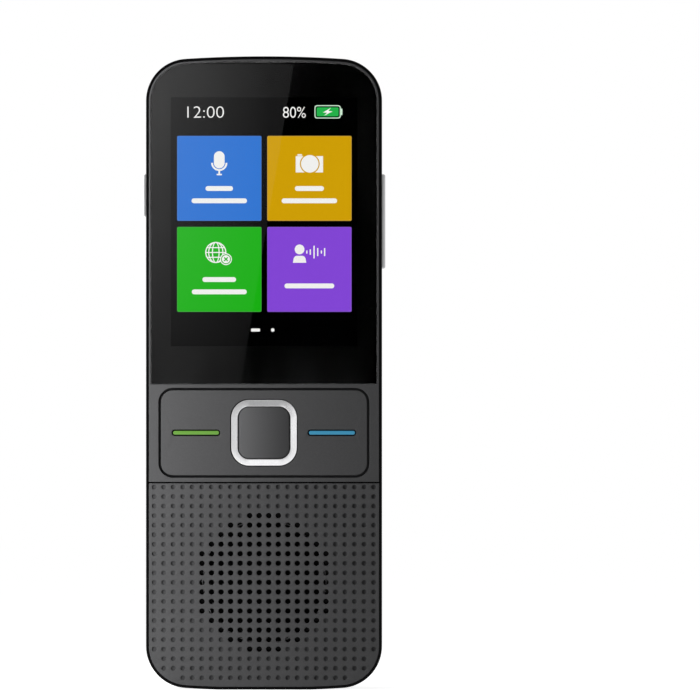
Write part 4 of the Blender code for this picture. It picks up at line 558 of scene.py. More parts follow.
def chosen(name):
    """A colour or a roughness that a user may have changed."""
    value = getattr(bpy.context.scene.translator_finishes, name)
    return value if isinstance(value, float) else tuple(value)


def put(node, **values):
    """Values on a node's sockets, whose names have spaces where these have underscores."""
    for socket, value in values.items():
        node.inputs[socket.replace("_", " ")].default_value = value


def new_material(name, base, roughness, **values):
    """A material with its constant values on the shader's own sockets."""
    made = bpy.data.materials.new("finish_" + name)
    made.use_nodes = True
    shader = made.node_tree.nodes["Principled BSDF"]
    put(shader, Base_Color=(*base, 1), Roughness=roughness, **values)
    return made.node_tree, shader


def texture(tree, kind, size, stretch=(1, 1, 1), turn=(0, 0, 0), shift=(0, 0, 0), **values):
    """A texture whose features are so many metres across, in the piece's own coordinates."""
    place = tree.nodes.new("ShaderNodeTexCoord")
    scale = tree.nodes.new("ShaderNodeMapping")
    put(scale, Scale=[part / size for part in stretch], Rotation=turn, Location=shift)
    made = tree.nodes.new(kind)
    put(made, **{"Scale": 1.0, **values})
    tree.links.new(place.outputs["Object"], scale.inputs["Vector"])
    tree.links.new(scale.outputs["Vector"], made.inputs["Vector"])
    return made


def noise(tree, size, stretch=(1, 1, 1), detail=3.0):
    """Soft random grain."""
    return texture(tree, "ShaderNodeTexNoise", size, stretch, Detail=detail).outputs["Fac"]


def spread(tree, value, low, high, start=0.3, end=0.7):
    """A value that runs from start to end, stretched to run from low to high."""
    node = tree.nodes.new("ShaderNodeMapRange")
    put(node, From_Min=start, From_Max=end, To_Min=low, To_Max=high)
    tree.links.new(value, node.inputs["Value"])
    return node.outputs["Result"]


def along(tree, axis, low, high, start, end):
    """A value that runs from low to high between two places on an axis of the piece."""
    place = tree.nodes.new("ShaderNodeTexCoord")
    parts = tree.nodes.new("ShaderNodeSeparateXYZ")
    tree.links.new(place.outputs["Object"], parts.inputs["Vector"])
    return spread(tree, parts.outputs[axis], low, high, start, end)


def calculate(tree, operation, first, second):
    """Two values worked into one."""
    node = tree.nodes.new("ShaderNodeMath")
    node.operation = operation
    tree.links.new(first, node.inputs[0])
    tree.links.new(second, node.inputs[1])
    return node.outputs[0]


def vary_colour(tree, shader, value, dark, light, socket="Base Color"):
    """A colour that runs from dark to light with a texture's value."""
    mix = tree.nodes.new("ShaderNodeMix")
    mix.data_type = "RGBA"
    mix.inputs[6].default_value = (*dark, 1)
    mix.inputs[7].default_value = (*light, 1)
    tree.links.new(value, mix.inputs[0])
    tree.links.new(mix.outputs[2], shader.inputs[socket])


def vary_gloss(tree, shader, value, low, high, start=0.3, end=0.7):
    """A roughness that runs from low to high with a texture's value."""
    tree.links.new(spread(tree, value, low, high, start, end), shader.inputs["Roughness"])


def scaled(base, factor):
    """A colour made lighter or darker."""
    return tuple(min(1.0, part * factor) for part in base)


def raise_surface(tree, shader, value, height):
    """A bump from a texture's value."""
    node = tree.nodes.new("ShaderNodeBump")
    put(node, Distance=height, Strength=1.0)
    tree.links.new(value, node.inputs["Height"])
    tree.links.new(node.outputs["Normal"], shader.inputs["Normal"])


def moulded(name, base, roughness, grain, height, contrast=0.08, **values):
    """Moulded plastic: spark-eroded grain, faint flow marks and slightly uneven gloss."""
    tree, shader = new_material(name, base, roughness, **values)
    fine = noise(tree, grain, detail=2.0)
    vary_colour(tree, shader, spread(tree, fine, 0, 1), scaled(base, 1 - contrast),
                scaled(base, 1 + contrast))
    flow = noise(tree, 9 * MM, (1, 1, 0.35), detail=2.0)
    vary_gloss(tree, shader, flow, roughness - 0.03, roughness + 0.04)
    raise_surface(tree, shader, fine, height)


def brushed(name, base, roughness, stretch=(1, 1, 1), grain=0.25 * MM, height=0.0012 * MM):
    """Metal with fine lines in one direction."""
    tree, shader = new_material(name, base, roughness, Metallic=1.0)
    lines = noise(tree, grain, stretch, detail=4.0)
    vary_colour(tree, shader, spread(tree, lines, 0, 1), scaled(base, 0.93), scaled(base, 1.05))
    vary_gloss(tree, shader, noise(tree, 4 * MM, detail=2.0), roughness - 0.04, roughness + 0.06)
    raise_surface(tree, shader, lines, height)


def lit(name, base, strength):
    """A part of the picture that gives off its own light, very slightly uneven."""
    tree, shader = new_material(name, (0, 0, 0), 0.4, Specular_IOR_Level=0.0, Emission_Strength=strength)
    vary_colour(tree, shader, noise(tree, 1.5 * MM, detail=1.0), scaled(base, 0.985), scaled(base, 1.015),
                "Emission Color")


def make_plastics():
    """The mouldings of the case, the keys and the inside, and the wrap of the battery."""
    grey = chosen("panel_grey")
    moulded("grey_plastic", grey, chosen("panel_gloss"), 0.13 * MM, 0.0035 * MM, Specular_IOR_Level=0.2)
    # The same grey painted darker and duller in the dimples and the mouths of the holes: painted shade
    moulded("recess_grey", scaled(grey, 0.75), 0.6, 0.13 * MM, 0.0035 * MM, Specular_IOR_Level=0.1)
    # The soft-touch black of the back has a thin velvety sheen
    moulded("soft_black", chosen("back_black"), chosen("back_gloss"), 0.1 * MM, 0.003 * MM, 0.1,
            Specular_IOR_Level=0.28, Sheen_Weight=0.04, Sheen_Roughness=0.4)
    # Black of the mouldings inside, used as well as painted shade on the walls of gaps and holes
    moulded("inner_plastic", chosen("inner_and_shade_black"), 0.58, 0.2 * MM, 0.006 * MM)
    moulded("key_silver", scaled(chosen("silver"), 0.5), 0.36, 0.09 * MM, 0.001 * MM, 0.04, Metallic=1.0)
    moulded("glass_print", (0.0003, 0.0003, 0.0004), 0.07, 0.4 * MM, 0.00002 * MM)
    moulded("lens_grey", (0.16, 0.16, 0.16), 0.5, 0.08 * MM, 0.002 * MM, Specular_IOR_Level=0.3)
    moulded("cell_wrap", (0.5, 0.5, 0.52), 0.38, 0.5 * MM, 0.004 * MM, 0.05, Coat_Weight=0.25)
    for name in ("green_light", "blue_light"):
        base = chosen(name)
        moulded(name, scaled(base, 0.3), 0.3, 0.3 * MM, 0.001 * MM, Emission_Color=(*base, 1),
                Emission_Strength=0.5, Coat_Weight=0.1, Coat_Roughness=0.1)

    # The middle key's grey is painted lighter on its left and darker on its right: painted shade, as if lit
    # from the left
    tree, shader = new_material("key_grey", grey, 0.5, Specular_IOR_Level=0.03)
    vary_colour(tree, shader, along(tree, "X", 0, 1, -5 * MM, 5 * MM), scaled(grey, 1.65), scaled(grey, 0.88))
    raise_surface(tree, shader, noise(tree, 0.13 * MM), 0.0035 * MM)

    # The polished rim has a faint ripple
    base = chosen("rim_black")
    tree, shader = new_material("gloss_black", base, 0.2, Specular_IOR_Level=0.05)
    flow = noise(tree, 5 * MM, detail=2.0)
    vary_gloss(tree, shader, flow, 0.18, 0.25)
    vary_colour(tree, shader, spread(tree, flow, 0, 1), scaled(base, 0.9), scaled(base, 1.15))
    raise_surface(tree, shader, noise(tree, 1.2 * MM), 0.0012 * MM)

    # The camera disc is dark lacquer over fine turned rings
    base = (0.013, 0.013, 0.014)
    tree, shader = new_material("disc_black", base, 0.3, Specular_IOR_Level=0.22, Coat_Weight=0.15,
                                Coat_Roughness=0.12)
    rings = texture(tree, "ShaderNodeTexWave", 1.0, shift=(0, 0, -CAMERA_HEIGHT), Scale=1 / (0.9 * MM),
                    Distortion=0.6)
    rings.wave_type = "RINGS"
    rings.rings_direction = "Y"
    vary_gloss(tree, shader, rings.outputs["Fac"], 0.26, 0.36, 0, 1)
    vary_colour(tree, shader, noise(tree, 2 * MM), scaled(base, 0.85), scaled(base, 1.2))
    raise_surface(tree, shader, rings.outputs["Fac"], 0.0006 * MM)


def make_metals():
    """The silver of the ring, the steel of stamped pieces, gold-plated springs and the nickel magnet."""
    brushed("silver", chosen("silver"), 0.3, (1, 1, 0.3), 0.12 * MM, 0.0003 * MM)
    brushed("steel", (0.56, 0.56, 0.57), 0.34, (0.2, 1, 1), 0.3 * MM)
    brushed("brass", (0.86, 0.62, 0.27), 0.26, (1, 1, 0.2), 0.2 * MM)
    brushed("magnet", (0.36, 0.36, 0.37), 0.38)


def make_optics():
    """The cover glass, the dark face of the screen, the lens and the flash window."""
    tree, shader = new_material("cover_glass", (1, 1, 1), 0.0, Transmission_Weight=1.0, IOR=1.5)
    vary_gloss(tree, shader, noise(tree, 12 * MM), 0.0, 0.012)

    # The screen has its grid of picture points
    base = (0.0006, 0.0006, 0.001)
    tree, shader = new_material("display", base, 0.25, Specular_IOR_Level=0.0)
    cells = texture(tree, "ShaderNodeTexBrick", 1.0, turn=(QUARTER, 0, 0), Mortar_Size=0.02 * MM,
                    Brick_Width=0.153 * MM, Row_Height=0.153 * MM)
    vary_colour(tree, shader, cells.outputs["Fac"], base, scaled(base, 0.5))

    tree, shader = new_material("lens_glass", (0.002, 0.002, 0.004), 0.05, Specular_IOR_Level=0.12)
    vary_colour(tree, shader, noise(tree, 0.8 * MM), (0.001, 0.001, 0.003), (0.003, 0.002, 0.008))

    # The flash window has fine facets, and gives off a painted glow
    base = chosen("flash")
    tree, shader = new_material("flash_yellow", base, 0.22, Emission_Color=(*base, 1), Emission_Strength=0.5)
    facets = texture(tree, "ShaderNodeTexVoronoi", 0.28 * MM).outputs["Distance"]
    vary_colour(tree, shader, spread(tree, facets, 0, 1, 0.2, 0.8), base, scaled(base, 0.8))
    raise_surface(tree, shader, facets, 0.02 * MM)


def make_electronics():
    """Solder mask over copper tracks, amber film with copper lines, and the speaker's foam and paper."""
    tree, shader = new_material("board", (0.008, 0.085, 0.04), 0.4)
    tracks = texture(tree, "ShaderNodeTexBrick", 1.0, turn=(QUARTER, 0, 0), Mortar_Size=0.09 * MM,
                     Brick_Width=1.7 * MM, Row_Height=0.55 * MM).outputs["Fac"]
    vary_colour(tree, shader, tracks, (0.006, 0.07, 0.034), (0.03, 0.16, 0.05))
    raise_surface(tree, shader, tracks, 0.02 * MM)

    tree, shader = new_material("ribbon", (0.42, 0.19, 0.03), 0.36)
    lines = texture(tree, "ShaderNodeTexWave", 2.2 * MM).outputs["Fac"]
    vary_colour(tree, shader, spread(tree, lines, 0, 1, 0.4, 0.6), (0.36, 0.15, 0.02), (0.55, 0.28, 0.08))
    raise_surface(tree, shader, lines, 0.01 * MM)

    tree, shader = new_material("foam", (0.028, 0.028, 0.028), 0.9)
    cells = texture(tree, "ShaderNodeTexVoronoi", 0.22 * MM).outputs["Distance"]
    vary_colour(tree, shader, spread(tree, cells, 0, 1, 0, 0.8), (0.02, 0.02, 0.02), (0.04, 0.04, 0.04))
    raise_surface(tree, shader, cells, 0.05 * MM)


def material(name):
    """The material of a finish. All of them are made when the first is asked for."""
    if "finish_grey_plastic" not in bpy.data.materials:
        make_plastics()
        make_metals()
        make_optics()
        make_electronics()
    return bpy.data.materials["finish_" + name]


# The curved body


def corner_at(drop):
    """The corner radius of the outline where the curved back has drawn it in by drop."""
    return CORNER_RADIUS - CORNER_TAPER_SHARE * drop


def back_rings(wall, first_angle, steps=BACK_STEPS):
    """Rings down the curved back, drawn in by wall, from an angle on its curve to the flat."""
    rings = []
    for step in range(steps + 1):
        angle = first_angle + (QUARTER - first_angle) * step / steps
        drop = BACK_CURVE_INSET * (1 - math.cos(angle))
        inset = BACK_CURVE_INSET - (BACK_CURVE_INSET - wall) * math.cos(angle)
        depth = SIDE_DEPTH + (BACK_CURVE_DEPTH - wall) * math.sin(angle)
        rings.append((depth, body_outline(inset, corner_at(drop) - wall)))
    return rings


def side_rings(rim_round):
    """Rings down the rounded rim, the straight side and the start of the curve, to the seam."""
    rings = []
    for step in range(RIM_STEPS + 1):
        angle = QUARTER * step / RIM_STEPS
        rings.append((rim_round * (1 - math.cos(angle)), body_outline(rim_round * (1 - math.sin(angle)))))
    for step in range(RIM_STEPS):
        angle = SEAM_ANGLE * step / RIM_STEPS
        inset = BACK_CURVE_INSET * (1 - math.cos(angle))
        rings.append((SIDE_DEPTH + BACK_CURVE_DEPTH * math.sin(angle), body_outline(inset, corner_at(inset))))
    inset = BACK_CURVE_INSET * (1 - math.cos(SEAM_ANGLE))
    corner = corner_at(inset)
    rings.append((SEAM_DEPTH - 0.06 * MM, body_outline(inset, corner)))
    rings.append((SEAM_DEPTH, body_outline(inset + 0.08 * MM, corner - 0.08 * MM)))
    return rings


def height_limit(front, back, low, high):
    """A box across the whole device between two depths and two heights."""
    return block("height_limit", (-BODY_WIDTH, BODY_WIDTH), (front, back), (low, high))


def locating_lip(low, high):
    """The lip of a back shell that enters the tray and follows its wall."""
    inset = HOUSING_WALL + DECK_EDGE_GAP
    front, back = SEAM_DEPTH - 1.0 * MM, COVER_EDGE_DEPTH + EMBED
    lip = plate("locating_lip", [body_outline(inset), body_outline(inset + 0.6 * MM)], front, back)
    return combine(lip, [height_limit(front - OVERRUN, back + OVERRUN, low, high)], "INTERSECT")


def rounded_end(piece, height, side, rounding):
    """Trim a shell at a height and round the edge that this leaves, as a moulding's edge is."""
    shape = bmesh.new()
    shape.from_mesh(piece.data)
    angles = [QUARTER * step / ROUNDING_STEPS for step in range(ROUNDING_STEPS + 1)]
    levels = [height - side * rounding * (1 - math.sin(angle)) for angle in angles]
    for level in levels:
        everything = shape.verts[:] + shape.edges[:] + shape.faces[:]
        cut_here = bmesh.ops.bisect_plane(shape, geom=everything, plane_co=(0, 0, level),
                                          plane_no=(0, 0, side), clear_outer=level == levels[-1])
    shape.normal_update()
    moves = []
    for vertex in shape.verts:
        for angle, level in zip(angles[1:], levels[1:]):
            if abs(vertex.co.z - level) < MM / 5000:
                outward = Vector((vertex.normal.x, vertex.normal.y, 0))
                is_outside = outward.y + math.copysign(outward.x, outward.x * vertex.co.x) > 0.1
                if is_outside and vertex.co.y > y_at(COVER_EDGE_DEPTH) + MM / 100:
                    moves.append((vertex, outward.normalized() * rounding * (1 - math.cos(angle))))
                break
    for vertex, shift in moves:
        vertex.co -= shift
    edges = [item for item in cut_here["geom_cut"]
             if isinstance(item, bmesh.types.BMEdge) and item.is_valid]
    bmesh.ops.edgenet_fill(shape, edges=edges)
    piece.data = mesh_from(shape, piece.name)
    return piece


def curved_shell(name, height, side):
    """The curved back above or below a height, hollow towards the front."""
    rings = back_rings(0, COVER_EDGE_ANGLE)
    inset = SIDE_SEAM_INSET + 0.12 * MM
    rings[0] = (rings[0][0], body_outline(inset, corner_at(inset) - 0.1 * MM))
    inner = rings_mesh("hollow", [(SIDE_DEPTH - OVERRUN, body_outline(COVER_WALL))]
                       + back_rings(COVER_WALL, 0, BACK_STEPS // 2))
    return rounded_end(cut(rings_mesh(name, rings), inner), height, side,
                       bpy.context.scene.translator_edges.seam)


def key_slot(side, height, half_length):
    """The slot in a side wall that a side key passes through."""
    half_width = SIDE_KEY_WIDTH / 2 + SIDE_KEY_GAP
    return block("key_slot", (side * (INNER_HALF_WIDTH - OVERRUN), side * (BODY_WIDTH / 2 + OVERRUN)),
                 about(SIDE_KEY_DEPTH, half_width), about(height, half_length + SIDE_KEY_GAP), 0.45 * MM)


def socket_outline(width, thickness):
    """A stadium across the bottom end, as (x, y)."""
    return rounded_rectangle(0, y_at(SOCKET_DEPTH), width, thickness, thickness / 2 - MM / 1000)


class TRANSLATOR_OT_tray(bpy.types.Operator):
    """The black tray with its glossy rim: side walls, web, key well, bosses, slots and ports"""

    bl_idname = "translator.tray"
    bl_label = "Front tray"

    def execute(self, context):
        tray = rings_mesh("tray", side_rings(context.scene.translator_edges.rim))
        mouth = [(depth, body_outline(RIM_WIDTH - narrower)) for depth, narrower in (
            (-OVERRUN, 0.09 * MM), (0, 0.09 * MM), (0.04 * MM, 0.03 * MM), (0.11 * MM, 0), (PANEL_SEAT, 0))]
        cut(tray, rings_mesh("recess", mouth),
            plate("cavity", [body_outline(HOUSING_WALL)], WEB_BACK, BODY_DEPTH))
        self.add_well(tray)
        step = SPEAKER_OPENING_RADIUS + 1.8 * MM
        cut(tray, block("window", about(0, WINDOW_HALF_WIDTH), (0, 4.0 * MM), WINDOW_SPAN),
            rod("speaker_opening", 0, HOLES_HEIGHT, SPEAKER_OPENING_RADIUS, 0.3 * MM, WEB_BACK + OVERRUN),
            rod("speaker_step", 0, HOLES_HEIGHT, step, 0.3 * MM, WEB_BACK - 0.35 * MM))
        boss_back = DECK_FRONT - SEAT_GAP
        (lower_x, lower_z), (upper_x, upper_z) = LOWER_BOSS, UPPER_BOSS
        for side in (-1, 1):
            fuse(tray, rod("boss", side * lower_x, lower_z, SCREW_BOSS_RADIUS, WEB_BACK - EMBED, boss_back),
                 rod("boss", side * upper_x, upper_z, SCREW_BOSS_RADIUS, 4.1 * MM, boss_back),
                 block("lug", (side * upper_x, side * (INNER_HALF_WIDTH + EMBED)), (4.1 * MM, boss_back),
                       about(upper_z, SCREW_BOSS_RADIUS)))
            cut(tray, *[rod("bore", side * x, z, SCREW_HOLE_RADIUS, 3.9 * MM, DECK_BACK)
                        for x, z in (LOWER_BOSS, UPPER_BOSS)])
        ends = (-OVERRUN, HOUSING_WALL + OVERRUN)
        microphone = circle(-11 * MM, y_at(4.5 * MM), 0.5 * MM, HOLE_SIDES)
        cut(tray, upright_plate("microphone_hole", [microphone], *ends),
            upright_plate("port", [socket_outline(8.0 * MM, 3.0 * MM)], *ends),
            key_slot(-1, POWER_KEY_HEIGHT, POWER_KEY_HALF), key_slot(1, VOLUME_KEY_HEIGHT, VOLUME_KEY_HALF))
        finish(tray, "gloss_black", "front_housing")
        return {"FINISHED"}

    def add_well(self, tray):
        """The pan behind the rocking key, with the ribs it rocks on and the keypad's posts."""
        reach = 2 * (KEY_FLANGE_REACH + 0.3 * MM)
        wall = 0.8 * MM
        fuse(tray, block("pan", about(0, INNER_HALF_WIDTH + EMBED), (WEB_BACK - EMBED, WELL_FLOOR_BACK),
                         about(KEYS_HEIGHT, (KEY_PLATE_HEIGHT + reach) / 2 + wall)))
        cut(tray, plate("well", [rounded_rectangle(0, KEYS_HEIGHT, KEY_PLATE_WIDTH + reach,
                                                   KEY_PLATE_HEIGHT + reach, 3.2 * MM)],
                        -OVERRUN, WELL_FLOOR_FRONT))
        added = []
        places = [(0, KEYS_HEIGHT, 1.6 * MM, ROUND_SIDES)]
        rib_half = 0.8 * MM
        for side in (-1, 1):
            middle = KEYS_HEIGHT + side * (RING_SIZE / 2 + rib_half + RING_GAP)
            added.append(block("rib", about(0, 0.3 * MM),
                               (KEY_FLANGE_BACK + SEAT_GAP, WELL_FLOOR_FRONT + EMBED),
                               about(middle, rib_half)))
            for up in (-6.35 * MM, 6.35 * MM):
                added.append(rod("post", side * 18.25 * MM, KEYS_HEIGHT + up, 1.1 * MM,
                                 WELL_FLOOR_BACK - EMBED, 3.89 * MM, HOLE_SIDES))
            places += [(side * ROCKER_PLUNGER_OFFSET, ROCKER_PLUNGER_HEIGHT, 1.4 * MM, ROUND_SIDES),
                       (side * (BAR_OFFSET - BAR_LENGTH / 4), KEYS_HEIGHT, 0.5 * MM, HOLE_SIDES)]
        fuse(tray, *added)
        cut(tray, *[rod("hole", x, z, radius, 2.35 * MM, 3.55 * MM, sides) for x, z, radius, sides in places])


class TRANSLATOR_OT_bezel(bpy.types.Operator):
    """The grey bezel round the glass and the keys, the cover glass and the ink behind it"""

    bl_idname = "translator.bezel"
    bl_label = "Bezel and glass"

    def execute(self, context):
        edge = context.scene.translator_edges.panel
        low, lip = GLASS_BOTTOM_HEIGHT, RIM_WIDTH + GLASS_LIP
        outer, mouth, outline, inner = [
            band(body_outline(inset), bottom, BODY_HEIGHT) for inset, bottom in (
                (RIM_WIDTH + PANEL_GAP, GRILLE_TOP_HEIGHT + GRILLE_SEAM_GAP / 2), (lip, low - PANEL_GAP),
                (lip + PANEL_GAP, low), (lip + 3 * PANEL_GAP, low + 2 * PANEL_GAP))]
        bezel = plate("bezel", [outer, mouth, key_plate_outline(KEY_GROOVE)], PANEL_SET_BACK, PANEL_BACK,
                      edge)
        # The walls of the openings, past the first rounding, take the dark plastic: painted shade in the gaps
        finish(bezel, "grey_plastic", "front_bezel", inner="inner_plastic", shade_depth=DARK_DEPTH)
        finish(plate("glass", [outline], PANEL_SET_BACK, GLASS_BACK, edge, 3), "cover_glass", "touch_glass")
        window = rounded_rectangle(0, LIT_MIDDLE * MM, LIT_WIDTH * MM, LIT_HEIGHT * MM, 0.05 * MM)
        finish(plate("glass_ink", [inner, window], 1.16 * MM, 1.175 * MM), "cover_glass", look="glass_print")
        return {"FINISHED"}


# The picture on the screen, drawn in millimetres


def drawn(loops, level=0):
    """Flat shapes in the plane of the picture; a higher level lies in front."""
    front = (PICTURE_DEPTH - PICTURE_STEP * level) * MM
    return plate("drawn", [[(x * MM, z * MM) for x, z in loop] for loop in loops], front, front + 0.008 * MM)


def bar(x, z, width, height, corner, level=2):
    """A rounded bar round a point."""
    return drawn([rounded_rectangle(x, z, width, height, min(corner, width / 2.01, height / 2.01))], level)


def disc(x, z, radius, hole=0.0, level=2):
    """A disc, or a ring."""
    return drawn([circle(x, z, radius)] + ([circle(x, z, hole)] if hole else []), level)


def words(x, z, *widths):
    """Lines of blank bars where the labels stand."""
    return [bar(x, z - 2.42 * line, width, WORD_THICKNESS, WORD_THICKNESS / 2)
            for line, width in enumerate(widths)]


def fitted_text(text, x_span, z_span, thinning):
    """Digits of the clock or the charge, fitted between two places and two heights."""
    curve = bpy.data.curves.new("digits", "FONT")
    curve.body = text
    curve.offset = -thinning
    writing = add_piece("digits", curve)
    flat = evaluated_mesh(writing)
    bpy.data.objects.remove(writing)
    front = y_at((PICTURE_DEPTH - PICTURE_STEP * 2) * MM)
    places = []
    for axis, span in ((0, x_span), (1, z_span)):
        values = [vertex.co[axis] for vertex in flat.vertices]
        low = min(values)
        size = (span[1] - span[0]) / (max(values) - low)
        places.append([(span[0] + (value - low) * size) * MM for value in values])
    for vertex, x, z in zip(flat.vertices, *places):
        vertex.co = (x, front, z)
    return add_piece("digits", flat)


def microphone_sign(x, z):
    """A microphone in its cradle."""
    cradle = arc(x, z + 3.05, 1.6, -math.pi, 0, 20) + arc(x, z + 3.05, 1.24, 0, -math.pi, 20)
    return [bar(x, z + 3.65, 2.1, 3.37, 1.05), drawn([cradle], 2), bar(x, z + 1.15, 0.32, 0.8, 0.05),
            bar(x, z + 0.75, 1.05, 0.3, 0.14)]


def camera_sign(x, z):
    """A camera: two half bodies round its lens, and its release."""
    middle_x, middle_z, reach = x + 0.08, z + 2.85, 1.95
    parts = [disc(middle_x, middle_z, 1.72), bar(x - 1.9, z + 4.6, 0.9, 0.3, 0.08)]
    for side in (-1, 1):
        low = math.asin((z + 1.16 - middle_z) / reach)
        high = math.asin((z + 4.37 - middle_z) / reach)
        inner = [(middle_x + side * (px - middle_x), pz)
                 for px, pz in arc(middle_x, middle_z, reach, low, high, 16)]
        parts.append(drawn([[(x + side * 2.69, z + 1.16)] + inner + [(x + side * 2.69, z + 4.37)]], 2))
    return parts


def globe_sign(x, z):
    """A globe with its lines and a small crossed badge."""
    middle_x, middle_z, radius = x - 0.68, z + 3.33, 2.08
    parts = [disc(middle_x, middle_z, radius, radius - 0.22)]
    for width in (0.36, 0.72):
        ovals = [[(middle_x + (radius * width - thick) * math.cos(angle * 6 * DEGREE),
                   middle_z + (radius - thick) * math.sin(angle * 6 * DEGREE)) for angle in range(60)]
                 for thick in (0, 0.2)]
        parts.append(drawn(ovals, 2))
    for up in (-0.95, 0, 0.95):
        parts.append(bar(middle_x, middle_z + up, 2 * math.sqrt(radius ** 2 - up ** 2) - 0.1, 0.2, 0.05))
    badge_x, badge_z = x + 1.32, z + 2.0
    parts.append(disc(badge_x, badge_z, 1.16, level=4))
    return parts, badge_x, badge_z


def badge_cross(badge_x, badge_z):
    """The ring and the cross of the badge, in the tile's colour."""
    cross = [disc(badge_x, badge_z, 0.98, 0.8, level=5)]
    for lean in (45, -45):
        half, thick = 0.5, 0.12
        along = Vector((math.cos(lean * DEGREE), math.sin(lean * DEGREE)))
        across = Vector((-along.y, along.x))
        corners = [along * half * right + across * thick * up
                   for right, up in ((1, 1), (-1, 1), (-1, -1), (1, -1))]
        cross.append(drawn([[(badge_x + point.x, badge_z + point.y) for point in corners]], 5))
    return cross


def speaker_sign(x, z):
    """A speaking person, as a head and shoulders with sound bars."""
    shoulders = [(x - 3.25, z + 1.3)] + arc(x - 2.4, z + 1.95, 0.72, math.pi, QUARTER, 8) + arc(
        x - 1.45, z + 1.95, 0.72, QUARTER, 0, 8) + [(x - 0.6, z + 1.3)]
    parts = [disc(x - 1.93, z + 3.93, 0.96), drawn([shoulders], 2)]
    for away, half in ((-0.5, 0.32), (0.18, 0.55), (0.92, 1.25), (1.64, 0.8), (2.37, 0.32), (3.0, 0.8)):
        parts.append(bar(x + away, z + 3.41, 0.25, 2 * half, 0.1))
    return parts


class TRANSLATOR_OT_screen(bpy.types.Operator):
    """The screen with its lit picture: status row, four tiles with their signs, page marks"""

    bl_idname = "translator.screen"
    bl_label = "Screen"

    def execute(self, context):
        colours = context.scene.translator_screen
        light = colours.brightness
        panel = block("screen_panel", about(0, INNER_HALF_WIDTH - 0.35 * MM), (1.25 * MM, 3.5 * MM),
                      SCREEN_SPAN, 0.12 * MM)
        finish(panel, "display", "display_module")

        lit("picture_white", (0.88, 0.88, 0.86), light)
        lit("picture_edge", (0.62, 0.86, 0.66), light)
        lit("badge_cross", tuple(colours.offline), light)
        lit("charge", tuple(colours.charge), light)
        marks = [fitted_text("12:00", (-15.1, -7.9), (112.45, 114.7), 0.014),
                 fitted_text("80%", (3.7, 8.2), (112.45, 114.6), 0.006),
                 bar(-1.69, 70.7, 1.75, 0.6, 0.12), disc(1.7, 70.7, 0.34)]
        tiles = []
        places = ((x, z) for z in TILE_Z for x in TILE_X)
        for name, (tile_x, tile_z) in zip(("voice", "photo", "offline", "record"), places):
            base = tuple(getattr(colours, name))
            lighter = tuple(0.8 * part + 0.05 for part in base)
            for prefix, tint, border, corner, level in (("tile_", base, 0.2, 0.2, 1),
                                                        ("tile_edge_", lighter, 0, 0.28, 0)):
                tile = bar(tile_x, tile_z, TILE_WIDTH - border, TILE_HEIGHT - border, corner, level)
                tile.name = prefix + name
                lit(tile.name, tint, light)
                tiles.append(tile)
        (left, right), (upper, lower) = TILE_X, TILE_Z
        marks += microphone_sign(left, upper) + words(left, upper - 2.0, 5.4, 10.9)
        marks += camera_sign(right, upper) + words(right, upper - 2.0, 5.7, 10.9)
        globe, badge_x, badge_z = globe_sign(left, lower)
        marks += globe + words(left, lower - 2.0, 6.6, 10.8)
        marks += speaker_sign(right, lower) + words(right, lower - 3.25, 9.8)
        bolt = [(13.1, 114.4), (11.6, 113.5), (12.4, 113.45), (11.8, 112.85), (13.45, 113.7), (12.65, 113.8)]
        marks.append(drawn([bolt], 3))
        finish(gather("picture_signs", marks), "display", look="picture_white")

        finish(gather("badge_cross", badge_cross(badge_x, badge_z)), "display", look="badge_cross")
        charge = bar(12.5, 113.62, 4.3, 1.75, 0.24, level=2)
        charge.name = "charge_sign"
        finish(charge, "display", look="charge")
        outline = [rounded_rectangle(12.5, 113.62, *size) for size in ((5.15, 2.6, 0.5), (4.8, 2.25, 0.4))]
        cap = bar(15.25, 113.62, 0.3, 1.3, 0.12, level=1)
        finish(gather("charge_frame", [drawn(outline), cap]), "display", look="picture_edge")
        for tile in tiles:
            finish(tile, "display", look=tile.name)
        return {"FINISHED"}


